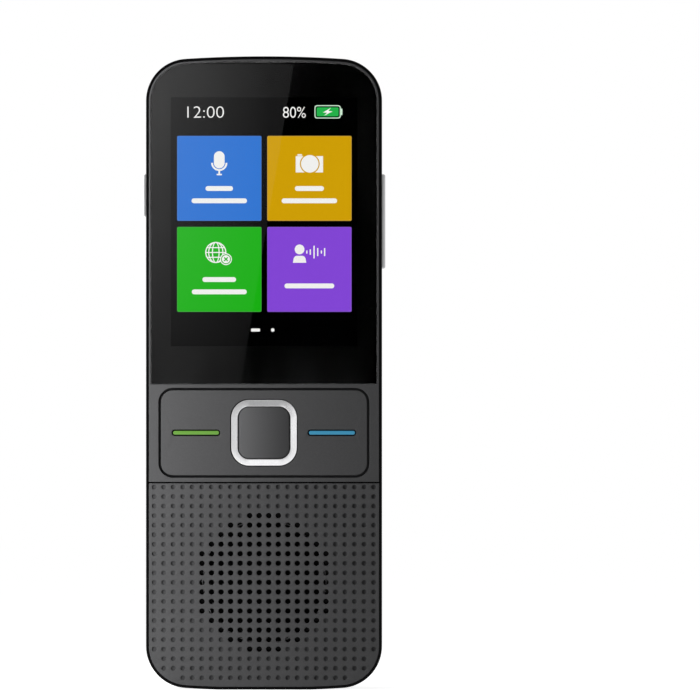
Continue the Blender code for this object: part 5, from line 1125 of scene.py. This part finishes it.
class TRANSLATOR_OT_grille(bpy.types.Operator):
    """The speaker panel: 166 holes and the shallow dimples of the same grid all round them"""

    bl_idname = "translator.grille"
    bl_label = "Speaker grille"

    def execute(self, context):
        depth = context.scene.translator_edges.dimple_depth
        outline = band(body_outline(RIM_WIDTH + PANEL_GAP), 0, GRILLE_TOP_HEIGHT - GRILLE_SEAM_GAP / 2)
        holes, dimples = self.places()
        loops = [outline] + self.rounds(holes, HOLE_RADIUS) + self.rounds(dimples, DIMPLE_RADIUS)
        skin = plate("skin", loops, PANEL_SET_BACK, PANEL_SET_BACK + 0.3 * MM, 0.045 * MM)
        backing = plate("backing", [outline] + self.rounds(holes, HOLE_RADIUS + 0.01 * MM),
                        PANEL_SET_BACK + 0.26 * MM, PANEL_BACK)
        shape = bmesh.new()
        for piece in (skin, backing, self.bowls(dimples, depth)):
            shape.from_mesh(piece.data)
            bpy.data.objects.remove(piece)
        mesh = bpy.data.meshes.new("grille")
        shape.to_mesh(mesh)
        shape.free()
        # The dimples and the mouths of the holes take the darker grey: painted shade
        grille = finish(add_piece("grille", mesh), "grey_plastic", "speaker_grille", inner="recess_grey",
                        shade_depth=PANEL_SET_BACK + 0.12 * MM)
        # Deeper in the holes the walls take the black: painted shade
        grille.data.materials.append(material("inner_plastic"))
        for polygon in grille.data.polygons:
            if polygon.center.y > y_at(PANEL_SET_BACK + depth + 0.02 * MM):
                polygon.material_index = 2
        return {"FINISHED"}

    def places(self):
        """The middles of the holes, and of the dimples at the grid's other places on the panel."""
        rows = len(HOLE_ROWS) // 2
        holes = [((column - (count - 1) / 2) * HOLE_PITCH, HOLES_HEIGHT + (rows - row) * HOLE_PITCH)
                 for row, count in enumerate(HOLE_ROWS) for column in range(count)]
        taken = {(round(x / MM, 2), round(z / MM, 2)) for x, z in holes}
        limit = body_outline(RIM_WIDTH + 0.6 * MM + DIMPLE_RADIUS)
        dimples = []
        for row in range(-DIMPLE_ROWS, DIMPLE_ROWS + 1):
            z = HOLES_HEIGHT + row * HOLE_PITCH
            inside = [x for x, _ in band(limit, z - 0.01 * MM, z + 0.01 * MM)]
            for column in range(DIMPLE_COLUMNS):
                x = (column - (DIMPLE_COLUMNS - 1) / 2) * HOLE_PITCH
                if (round(x / MM, 2), round(z / MM, 2)) not in taken and inside and abs(x) < max(inside):
                    dimples.append((x, z))
        return holes, dimples

    def rounds(self, places, radius):
        """Small circles at places."""
        return [circle(x, z, radius, HOLE_SIDES) for x, z in places]

    def bowls(self, dimples, depth):
        """The hollow faces of the dimples, open to the front."""
        shape = bmesh.new()
        for x, z in dimples:
            rings = [[shape.verts.new((across, y_at(PANEL_SET_BACK + depth * sink), up))
                      for across, up in circle(x, z, DIMPLE_RADIUS * reach, HOLE_SIDES)]
                     for reach, sink in ((1.04, 0.75), (0.85, 0.9), (0.5, 0.98))]
            bottom = shape.verts.new((x, y_at(PANEL_SET_BACK + depth), z))
            for index in range(HOLE_SIDES):
                after = (index + 1) % HOLE_SIDES
                for near, far in zip(rings, rings[1:]):
                    shape.faces.new((near[index], near[after], far[after], far[index]))
                shape.faces.new((rings[-1][index], rings[-1][after], bottom))
        bmesh.ops.recalc_face_normals(shape, faces=shape.faces)
        if shape.faces[0].normal.y > 0:
            bmesh.ops.reverse_faces(shape, faces=shape.faces)
        mesh = bpy.data.meshes.new("bowls")
        shape.to_mesh(mesh)
        shape.free()
        return add_piece("bowls", mesh)


class TRANSLATOR_OT_keys(bpy.types.Operator):
    """The rocking key with its two light bars, the silver ring and the square middle key"""

    bl_idname = "translator.keys"
    bl_label = "Front keys"

    def execute(self, context):
        self.rocking_key(context.scene.translator_edges.key_plate)
        self.light_bar("left_bar", -1, "green_light")
        self.light_bar("right_bar", 1, "blue_light")
        self.ring()
        self.middle_key()
        return {"FINISHED"}

    def rocking_key(self, edge):
        """The face in its groove, the flange that holds it in, and a plunger at each end."""
        opening = key_square(RING_SIZE + 2 * RING_GAP, RING_CORNER + RING_GAP)
        slots = [stadium(side * BAR_OFFSET, KEYS_HEIGHT, BAR_LENGTH, BAR_SLOT_WIDTH) for side in (-1, 1)]
        face = plate("rocking_key", [key_plate_outline(), opening] + slots, PANEL_SET_BACK,
                     KEY_FLANGE_FRONT + EMBED, edge, 3)
        flange = [key_plate_outline(KEY_FLANGE_REACH), opening]
        fuse(face, plate("flange", flange, KEY_FLANGE_FRONT, KEY_FLANGE_BACK),
             *[rod("plunger", side * ROCKER_PLUNGER_OFFSET, ROCKER_PLUNGER_HEIGHT, 1.0 * MM,
                   KEY_FLANGE_BACK - EMBED, PLUNGER_TIP, HOLE_SIDES) for side in (-1, 1)])
        # The walls of the groove and the bar slots take the dark plastic: painted shade
        finish(face, "grey_plastic", "key_plate", body="key_plate", inner="inner_plastic",
               shade_depth=DARK_DEPTH)

    def light_bar(self, name, side, colour_name):
        """A narrow domed strip on a wider foot."""
        foot = BAR_SLOT_WIDTH - 0.16 * MM
        sections = []
        for rise, draw_in in ((0, 0.2), (0.03, 0.1), (0.08, 0.03), (0.16, 0), (0.32, 0), (1.1, 0)):
            width = BAR_WIDTH - 2 * draw_in * MM
            sections.append((PANEL_SET_BACK + (0.08 + rise) * MM, BAR_LENGTH - BAR_SLOT_WIDTH + width, width))
        for depth in (PANEL_SET_BACK + 1.15 * MM, KEY_FLANGE_FRONT - SEAT_GAP):
            sections.append((depth, BAR_LENGTH - 0.16 * MM, foot))
        rings = [(depth, stadium(side * BAR_OFFSET, KEYS_HEIGHT, across, width))
                 for depth, across, width in sections]
        # The foot, seen in the gap round the bar, takes the dark plastic: painted shade in the slot
        finish(rings_mesh(name, rings), colour_name, f"{colour_name}_bar", body="key_plate",
               inner="inner_plastic", shade_depth=0.4 * MM)

    def ring(self):
        """The ring's section runs round it: a face that rises inwards, rounded at both edges."""
        outer, inner, foot = 0.13 * MM, 0.1 * MM, WELL_FLOOR_FRONT - SEAT_GAP
        section = [(0.0, foot), (0.0, 0.1 * MM)] + arc(outer, 0.06 * MM, -outer, 0, QUARTER, ROUNDING_STEPS)
        section += arc(RING_WIDTH - inner, inner - RING_PROUD, -inner, QUARTER, 2 * QUARTER, ROUNDING_STEPS)
        section += [(RING_WIDTH, 1.1 * MM), (0.9 * MM, 1.1 * MM), (0.9 * MM, foot)]
        rings = [(depth, key_square(RING_SIZE - 2 * inset, RING_CORNER - inset)) for inset, depth in section]
        finish(rings_mesh("ring", rings, is_loop=True), "silver", "key_ring", smooth=50 * DEGREE)

    def middle_key(self):
        """The square key: a face curved from side to side, rounded edge, flange and plunger."""
        size = RING_SIZE - 2 * RING_WIDTH - 0.28 * MM
        corner = RING_CORNER - RING_WIDTH - 0.14 * MM
        lowest = 0.02 * MM
        rings = [(lowest + depth * MM, key_square(size - 2 * inset * MM, corner - inset * MM))
                 for inset, depth in ((0.3, 0.0), (0.14, 0.02), (0.05, 0.07), (0.0, 0.16), (0.0, 1.2))]
        rings += [(depth, key_square(size + 0.6 * MM, corner + 0.3 * MM)) for depth in (1.2 * MM, 1.7 * MM)]
        key = rings_mesh("middle_key", rings)
        shape = bmesh.new()
        shape.from_mesh(key.data)
        strips = 16
        for strip in range(1, strips):
            bmesh.ops.bisect_plane(shape, geom=[*shape.verts, *shape.edges, *shape.faces], dist=0.002 * MM,
                                   plane_co=(size * (strip / strips - 0.5), 0, 0), plane_no=(1, 0, 0))
        for vertex in shape.verts:
            share_out = min(1.0, abs(vertex.co.x) / (size / 2))
            if vertex.co.y < y_at(lowest + 0.1 * MM):
                vertex.co.y -= KEY_CROWN * (1 - share_out ** 2)
        shape.to_mesh(key.data)
        shape.free()
        fuse(key, rod("plunger", 0, KEYS_HEIGHT, 1.2 * MM, 1.4 * MM, PLUNGER_TIP, HOLE_SIDES))
        # The face takes the grey that is painted lighter on its left and darker on its right: painted shade
        finish(key, "grey_plastic", "ok_key", body="ok_key", look="key_grey")


class TRANSLATOR_OT_side_keys(bpy.types.Operator):
    """The silver power key on the left and the long volume key on the right"""

    bl_idname = "translator.side_keys"
    bl_label = "Side keys"

    def execute(self, context):
        edge = context.scene.translator_edges.side_key
        for name, side, node, height, half, gap in (
                ("power_button", -1, "power_key", POWER_KEY_HEIGHT, POWER_KEY_HALF, 0.15 * MM),
                ("volume_button", 1, "volume_key", VOLUME_KEY_HEIGHT, VOLUME_KEY_HALF, 0.4 * MM)):
            outer = INNER_HALF_WIDTH - gap
            parts = []
            for inside, outside, reach, rounding in (
                    (outer - EMBED, BODY_WIDTH / 2 + SIDE_KEY_PROUD, 0, edge),
                    (outer - SIDE_FLANGE_THICKNESS, outer, SIDE_FLANGE_REACH, 0)):
                parts.append(block(name, (side * inside, side * outside),
                                   about(SIDE_KEY_DEPTH, SIDE_KEY_WIDTH / 2 + reach),
                                   about(height, half + reach), rounding, 6))
            finish(fuse(*parts), "silver", node, body=node, look="key_silver")
        return {"FINISHED"}


class TRANSLATOR_OT_back_shells(bpy.types.Operator):
    """The upper back with its camera boss, deck and battery pocket, and the battery cover below it"""

    bl_idname = "translator.back_shells"
    bl_label = "Back shells"

    def execute(self, context):
        upper = curved_shell("upper_back", REAR_EDGE_HEIGHT, -1)
        deck_outline = band(body_outline(HOUSING_WALL + DECK_EDGE_GAP), 0, REAR_EDGE_HEIGHT + BULKHEAD_WALL)
        width = 2 * (BATTERY_WIDTH / 2 + POCKET_CLEARANCE)
        bottom = BATTERY_BOTTOM_HEIGHT - POCKET_CLEARANCE
        top = CONTACT_BLOCK_TOP + POCKET_CLEARANCE
        pocket = [rounded_rectangle(0, (bottom + top) / 2, width + 2 * wall, top - bottom + 2 * wall,
                                    POCKET_WALL + wall) for wall in (POCKET_WALL, 0)]
        fuse(upper, locating_lip(REAR_EDGE_HEIGHT, BODY_HEIGHT), self.tongue(), self.bulkhead(),
             plate("deck", [deck_outline], DECK_FRONT, DECK_BACK),
             plate("pocket", pocket, DECK_BACK - EMBED, DECK_BACK + 3.1 * MM))
        self.add_boss(upper)
        fuse(upper, *[rod("board_post", side * 15.5 * MM, BODY_HEIGHT - 17 * MM, 1.3 * MM, 5.2 * MM,
                          SHELL_INNER_BACK) for side in (-1, 1)])
        holes = [rod("screw_hole", side * x, z, SCREW_HOLE_RADIUS, DECK_FRONT - OVERRUN, DECK_BACK + OVERRUN)
                 for side in (-1, 1) for x, z in (LOWER_BOSS, UPPER_BOSS)]
        bay = block("key_bay", (INNER_HALF_WIDTH - 5 * MM, BODY_WIDTH / 2),
                    (DECK_FRONT - OVERRUN, SIDE_DEPTH), about(VOLUME_KEY_HEIGHT, VOLUME_BAY_HALF))
        cut(upper, bay, *holes)
        finish(upper, "soft_black", "rear_housing")

        cover = curved_shell("lower_back", COVER_TOP_HEIGHT, 1)
        fuse(cover, locating_lip(0, COVER_TOP_HEIGHT - 1.65 * MM))
        finish(cover, "soft_black", "battery_cover", body="battery_cover")
        return {"FINISHED"}

    def tongue(self):
        """The tongue that runs under the top edge of the battery cover."""
        wall = COVER_WALL + 0.15 * MM
        outer = rings_mesh("tongue", back_rings(wall, COVER_EDGE_ANGLE, 10))
        wall += 0.8 * MM
        cut(outer, rings_mesh("tongue_hollow", [(SIDE_DEPTH, body_outline(wall))]
                              + back_rings(wall, COVER_EDGE_ANGLE / 2, 10)))
        span = (COVER_TOP_HEIGHT - 1.5 * MM, REAR_EDGE_HEIGHT + EMBED)
        return combine(outer, [height_limit(0, BODY_DEPTH, *span)], "INTERSECT")

    def bulkhead(self):
        """The wall between the battery bay and the upper chamber."""
        wall = block("bulkhead", about(0, INNER_HALF_WIDTH - DECK_EDGE_GAP), (DECK_FRONT, BODY_DEPTH),
                     (REAR_EDGE_HEIGHT, REAR_EDGE_HEIGHT + BULKHEAD_WALL))
        limit = rings_mesh("bulkhead_limit", [(0, body_outline(COVER_WALL / 2))]
                           + back_rings(COVER_WALL / 2, 0, 10))
        return combine(wall, [limit], "INTERSECT")

    def add_boss(self, upper):
        """The round boss: a drafted flank that rises out of a small fillet, a rounded rim, a recess."""
        root = BODY_DEPTH - 2 * MM
        foot = ISLAND_RADIUS + ISLAND_PROUD * ISLAND_DRAFT_SHARE
        profile = [(ISLAND_RADIUS + 2.7 * MM * ISLAND_DRAFT_SHARE, root)]
        profile += [(foot + outward * MM, BODY_DEPTH + rise * MM)
                    for outward, rise in ((0.1, -0.05), (0.06, 0.03), (0, 0.12))]
        rim = 0.14 * MM
        profile += arc(ISLAND_RADIUS + 0.02 * MM - rim, ISLAND_TOP - rim, rim, 0, QUARTER, ROUNDING_STEPS)
        fuse(upper, turned("boss", 0, CAMERA_HEIGHT, profile, BOSS_SIDES))
        recess = ISLAND_RADIUS - ISLAND_RIM_WIDTH
        mouth = recess + 0.08 * MM
        depths = (root - OVERRUN, DISC_FRONT + OVERRUN)
        cut(upper, turned("recess", 0, CAMERA_HEIGHT, [
            (recess, DISC_FRONT - SEAT_GAP), (recess, ISLAND_TOP - 0.08 * MM), (mouth, ISLAND_TOP),
            (mouth, ISLAND_TOP + OVERRUN)], BOSS_SIDES),
            rod("lens_bore", LENS_OFFSET, CAMERA_HEIGHT, 2.15 * MM, *depths),
            rod("flash_bore", -LENS_OFFSET, CAMERA_HEIGHT, 1.65 * MM, *depths))


class TRANSLATOR_OT_camera(bpy.types.Operator):
    """What shows in the boss: the disc, the lens in its grey cone and the yellow flash window"""

    bl_idname = "translator.camera"
    bl_label = "Camera and flash"

    def execute(self, context):
        loops = [circle(0, CAMERA_HEIGHT, ISLAND_RADIUS - ISLAND_RIM_WIDTH - 0.06 * MM, BOSS_SIDES),
                 circle(LENS_OFFSET, CAMERA_HEIGHT, LENS_RADIUS + 0.07 * MM),
                 circle(-LENS_OFFSET, CAMERA_HEIGHT, FLASH_RADIUS + 0.07 * MM)]
        finish(plate("camera_disc", loops, DISC_FRONT, DISC_BACK, 0.06 * MM), "soft_black", "camera_plate",
               look="disc_black")

        front, outer = DISC_FRONT, LENS_RADIUS
        cone = [(0.75 * MM, front + 0.42 * MM), (0.82 * MM, front + 0.45 * MM),
                (outer - 0.08 * MM, front + 0.45 * MM), (outer - 0.02 * MM, front + 0.42 * MM),
                (outer, front + 0.35 * MM), (outer, front), (PUPIL_RADIUS, front),
                (PUPIL_RADIUS, front + 0.2 * MM), (0.6 * MM, front + 0.32 * MM)]
        surround = turned("lens_cone", LENS_OFFSET, CAMERA_HEIGHT, cone, is_ring=True)
        finish(surround, "lens_grey", "lens_surround")
        back, rim = front - SEAT_GAP, 1.35 * MM
        dome = [(rim * math.sin(angle * 9 * DEGREE), back - 0.17 * MM * (1 - math.cos(angle * 9 * DEGREE)))
                for angle in range(11)] + [(rim, back - 0.35 * MM), (0, back - 0.35 * MM)]
        lens = turned("lens", LENS_OFFSET, CAMERA_HEIGHT, dome)
        finish(lens, "cover_glass", "camera_lens", look="lens_glass")

        ridges = [(0.0, front + 0.5 * MM)]
        for step in range(1, 6):
            radius = FLASH_RADIUS * (0.2 + 0.14 * step)
            ridges += [(radius - 0.05 * MM, front + 0.47 * MM), (radius, front + 0.5 * MM)]
        ridges += [(FLASH_RADIUS - 0.04 * MM, front + 0.45 * MM), (FLASH_RADIUS, front + 0.4 * MM),
                   (FLASH_RADIUS, front), (0, front)]
        finish(turned("flash_window", -LENS_OFFSET, CAMERA_HEIGHT, ridges), "flash_yellow", "flash_diffuser")
        return {"FINISHED"}


class TRANSLATOR_OT_battery(bpy.types.Operator):
    """The wrapped battery, and the gold pads on its head"""

    bl_idname = "translator.battery"
    bl_label = "Battery"

    def execute(self, context):
        half = BATTERY_WIDTH / 2
        low, high = BATTERY_BOTTOM_HEIGHT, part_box("battery_cell")[1].z
        cell = block("battery_pack", about(0, half), (BATTERY_FRONT, BATTERY_BACK), (low, high), 0.9 * MM, 8)
        cut(cell, block("lap", (-half + 2 * MM, -half + 2.25 * MM),
                        (BATTERY_BACK - 0.03 * MM, BATTERY_BACK + 0.5 * MM), (low - OVERRUN, high + OVERRUN)))
        finish(cell, "cell_wrap", "battery_cell", body="battery")
        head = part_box("battery_head")[1].z
        middle = BATTERY_FRONT + 1.5 * MM
        for name, place in (("left", -3.4 * MM), ("middle", 0), ("right", 3.4 * MM)):
            pad = block("battery_pad_" + name, about(place, 0.9 * MM), about(middle, 1.0 * MM),
                        (head - 0.05 * MM, head + 0.03 * MM), 0.02 * MM, 2)
            finish(pad, "brass", body="battery")
        return {"FINISHED"}


class TRANSLATOR_OT_fittings(bpy.types.Operator):
    """The charging socket with its tongue, and the four cross-head screws"""

    bl_idname = "translator.fittings"
    bl_label = "Socket and screws"

    def execute(self, context):
        low, high = (corner.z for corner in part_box("charging_socket"))
        can = upright_plate("socket", [socket_outline(7.5 * MM, 2.5 * MM)], low, high, 0.06 * MM)
        cut(can, upright_plate("mouth", [socket_outline(6.9 * MM, 1.9 * MM)], -OVERRUN, high - 0.8 * MM))
        finish(can, "steel", "charging_socket")
        middle = y_at(SOCKET_DEPTH)
        tongue = upright_plate("socket_tongue", [rounded_rectangle(0, middle, 4.9 * MM, 0.6 * MM, 0.12 * MM)],
                               high - 4.2 * MM, high - 0.5 * MM, 0.05 * MM)
        finish(tongue, "steel", look="inner_plastic")
        lines = [upright_plate("line", [rounded_rectangle(place * 0.5 * MM, middle, 0.25 * MM, 0.66 * MM,
                                                          0.02 * MM)], high - 4.0 * MM, high - 0.8 * MM)
                 for place in range(-4, 5)]
        finish(gather("socket_lines", lines), "brass")

        seat = DECK_BACK + SEAT_GAP
        profile = [(radius * MM, seat + rise * MM) for radius, rise in (
            (0, 0.65), (0.9, 0.63), (1.2, 0.52), (1.3, 0.35), (1.3, 0), (0.65, 0), (0.65, -2.3), (0.3, -2.6),
            (0, -2.6))]
        for name, side, (x, z) in (("lower_left", -1, LOWER_BOSS), ("lower_right", 1, LOWER_BOSS),
                                   ("upper_left", -1, UPPER_BOSS), ("upper_right", 1, UPPER_BOSS)):
            head = turned("fixing_" + name, side * x, z, profile, 40)
            for wide, tall in ((0.75, 0.16), (0.16, 0.75)):
                cut(head, block("cross", about(side * x, wide * MM), (seat + 0.3 * MM, seat + 1.0 * MM),
                                about(z, tall * MM), 0.03 * MM, 1))
            finish(head, "steel", "screw_" + name)
        return {"FINISHED"}


INSIDE = {
    "board": ("keypad_board", "main_board", "lower_board"),
    "steel": ("dome_left", "dome_middle", "dome_right", "power_switch", "volume_up_switch",
              "volume_down_switch", "display_frame", "processor_shield", "radio_shield", "speaker_basket",
              "microphone"),
    "ribbon": ("display_ribbon", "keypad_ribbon", "antenna"),
    "cell_wrap": ("bar_emitter_left", "bar_emitter_right"),
    "foam": ("speaker_gasket", "speaker_cone"),
    "magnet": ("speaker_magnet",),
    "brass": ("battery_contact_1", "battery_contact_2", "battery_contact_3"),
    "inner_plastic": ("battery_head", "contact_block", "camera_module", "camera_bracket"),
    "flash_yellow": ("flash_emitter",),
}


class TRANSLATOR_OT_inside(bpy.types.Operator):
    """The finishes of the pieces inside, whose frame shapes are kept"""

    bl_idname = "translator.inside"
    bl_label = "Inner pieces"

    def execute(self, context):
        for name, nodes in INSIDE.items():
            for node in nodes:
                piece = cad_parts[node]
                piece.data.materials.clear()
                piece.data.materials.append(material(name))
        return {"FINISHED"}


# The stage


def ray_share(tree, *kinds):
    """1 for these kinds of rays and 0 for the rest."""
    path = tree.nodes.new("ShaderNodeLightPath")
    total = path.outputs[kinds[0]]
    for kind in kinds[1:]:
        total = calculate(tree, "MAXIMUM", total, path.outputs[kind])
    return total


def floor_finish(sky):
    """Pale paper: it takes the shadow near the device and fades to the white of the backdrop."""
    tree, shader = new_material("floor", (0.8, 0.8, 0.8), 0.9, Specular_IOR_Level=0.0,
                                Emission_Color=(1, 1, 1, 1))
    place = tree.nodes.new("ShaderNodeTexCoord")
    away = tree.nodes.new("ShaderNodeVectorMath")
    away.operation = "LENGTH"
    tree.links.new(place.outputs["Object"], away.inputs[0])
    fade = spread(tree, away.outputs["Value"], 0, 1, 0.12, 0.6)
    vary_colour(tree, shader, fade, (0.8, 0.8, 0.8), (0.0, 0.0, 0.0))
    glow = spread(tree, fade, 1 - 0.8 * sky, 1.0, 0, 1)
    seen = calculate(tree, "MULTIPLY", glow, ray_share(tree, *SEEN_BY))
    tree.links.new(seen, shader.inputs["Emission Strength"])


def glowing(name, *runs):
    """A material that only gives off light, as strong as the product of its runs along axes."""
    new_material(name, (0, 0, 0), 1.0)
    tree = bpy.data.materials["finish_" + name].node_tree
    tree.nodes.clear()
    light = tree.nodes.new("ShaderNodeEmission")
    out = tree.nodes.new("ShaderNodeOutputMaterial")
    strength = along(tree, *runs[0])
    for run in runs[1:]:
        strength = calculate(tree, "MULTIPLY", strength, along(tree, *run))
    tree.links.new(strength, light.inputs["Strength"])
    tree.links.new(light.outputs["Emission"], out.inputs["Surface"])


def stage_piece(name, shape, is_card=False):
    """A piece of the stage with its own finish. A card is seen only in reflections."""
    piece = add_piece(name, mesh_from(shape, name))
    piece.data.materials.append(material(name))
    if is_card:
        piece.visible_camera = False
        piece.visible_diffuse = False
        piece.visible_shadow = False


def screen_card(name, corners, y):
    """A flat card across the view, behind the camera, from its corners in millimetres."""
    shape = bmesh.new()
    shape.faces.new([shape.verts.new((x * MM, y, z * MM)) for x, z in corners])
    stage_piece(name, shape, is_card=True)


def strip_lamp(name, power, place, aim, width, height, in_reflections):
    """A tall soft strip light that shines at a point."""
    light = bpy.data.lights.new(name, "AREA")
    light.shape = "RECTANGLE"
    light.size = width
    light.size_y = height
    light.energy = power
    lamp = add_piece(name, light, place)
    lamp.rotation_euler = (Vector(place) - Vector(aim)).to_track_quat("Z", "Y").to_euler()
    lamp.visible_camera = False
    lamp.visible_glossy = in_reflections
    lamp.visible_transmission = in_reflections


class TRANSLATOR_OT_stage(bpy.types.Operator):
    """The pale floor, the white backdrop, the soft lamps and the camera of the photograph"""

    bl_idname = "translator.stage"
    bl_label = "Stage"

    def execute(self, context):
        stage = context.scene.translator_stage
        floor_finish(stage.sky)
        shape = bmesh.new()
        bmesh.ops.create_grid(shape, x_segments=8, y_segments=8, size=4.0)
        stage_piece("floor", shape)

        # The dim side of the studio in satin metal, black cloth, and the lit card that the glass mirrors
        glowing("surround", ("Z", 0.55, 0.3, 0.1, 0.6))
        screen_card("surround", [(-2200, 0), (200, 0), (200, 350), (700, 350), (700, 2200), (-2200, 2200)],
                    FRONT_Y - 1.7)
        new_material("flag", (0, 0, 0), 0.5, Specular_IOR_Level=0.0)
        screen_card("flag", [(-150, 30), (70, 30), (70, 275), (-150, 275)], FRONT_Y - 1.6)
        glowing("card", ("X", 0.56, 0.13, -0.105, -0.03), ("Z", 0.25, 1.0, 0.055, 0.225))
        screen_card("card", [(-115, 45), (-48.6, 45), (-16, 240), (-16, 250), (-115, 250)], FRONT_Y - 1.55)

        front, back = FRONT_Y, FRONT_Y + BODY_DEPTH
        strip_lamp("front_lamp", stage.front_lamp, (-44 * MM, front - 28 * MM, 72 * MM), (0, front, 68 * MM),
                   16 * MM, 142 * MM, False)
        strip_lamp("back_lamp", stage.back_lamp, (-52 * MM, back + 40 * MM, 72 * MM), (0, back, 68 * MM),
                   18 * MM, 142 * MM, True)
        self.backdrop(context.scene, stage.sky)

        lens = bpy.data.cameras.new("camera")
        lens.lens = stage.lens
        lens.sensor_width = FILM_WIDTH
        distance = stage.lens / FILM_WIDTH * stage.frame_width
        camera = add_piece("camera", lens, (VIEW_MIDDLE[0], FRONT_Y - distance, VIEW_MIDDLE[1]))
        camera.rotation_euler = (QUARTER, 0, 0)
        context.scene.camera = camera
        context.scene.view_settings.view_transform = "Standard"
        return {"FINISHED"}

    def backdrop(self, scene, strength):
        """White to the camera and in mirrors; a soft even light for the rest."""
        scene.world = bpy.data.worlds.new("backdrop")
        scene.world.use_nodes = True
        tree = scene.world.node_tree
        white = tree.nodes["Background"]
        white.inputs["Color"].default_value = (1, 1, 1, 1)
        tree.links.new(spread(tree, ray_share(tree, *SEEN_BY), strength, 1.0, 0, 1), white.inputs["Strength"])


PIECES = ("tray", "bezel", "screen", "grille", "keys", "side_keys", "back_shells", "camera", "battery",
          "fittings", "inside", "stage")


class TRANSLATOR_PT_tools(bpy.types.Panel):
    """Lists the pieces in the order in which they are made."""

    bl_label = "Handheld translator"
    bl_space_type = "VIEW_3D"
    bl_region_type = "UI"
    bl_category = "Translator"

    def draw(self, context):
        scene = context.scene
        for title, group in (("Edges", scene.translator_edges), ("Finishes", scene.translator_finishes),
                             ("Screen", scene.translator_screen), ("Stage", scene.translator_stage)):
            box = self.layout.box()
            box.label(text=title)
            for name in group.bl_rna.properties.keys():
                if name not in ("name", "rna_type"):
                    box.prop(group, name)
        column = self.layout.column(align=True)
        for name in PIECES:
            column.operator(f"translator.{name}")


CLASSES = (
    TRANSLATOR_PG_edges, TRANSLATOR_PG_finishes, TRANSLATOR_PG_screen, TRANSLATOR_PG_stage,
    TRANSLATOR_OT_tray, TRANSLATOR_OT_bezel, TRANSLATOR_OT_screen, TRANSLATOR_OT_grille,
    TRANSLATOR_OT_keys, TRANSLATOR_OT_side_keys, TRANSLATOR_OT_back_shells, TRANSLATOR_OT_camera,
    TRANSLATOR_OT_battery, TRANSLATOR_OT_fittings, TRANSLATOR_OT_inside, TRANSLATOR_OT_stage,
    TRANSLATOR_PT_tools,
)


def register():
    for item in CLASSES:
        bpy.utils.register_class(item)
    scene = bpy.types.Scene
    scene.translator_edges = bpy.props.PointerProperty(type=TRANSLATOR_PG_edges)
    scene.translator_finishes = bpy.props.PointerProperty(type=TRANSLATOR_PG_finishes)
    scene.translator_screen = bpy.props.PointerProperty(type=TRANSLATOR_PG_screen)
    scene.translator_stage = bpy.props.PointerProperty(type=TRANSLATOR_PG_stage)


def unregister():
    for name in ("edges", "finishes", "screen", "stage"):
        delattr(bpy.types.Scene, f"translator_{name}")
    for item in reversed(CLASSES):
        bpy.utils.unregister_class(item)


def main():
    register()
    for name in PIECES:
        getattr(bpy.ops.translator, name)()


if __name__ == "__main__":
    main()
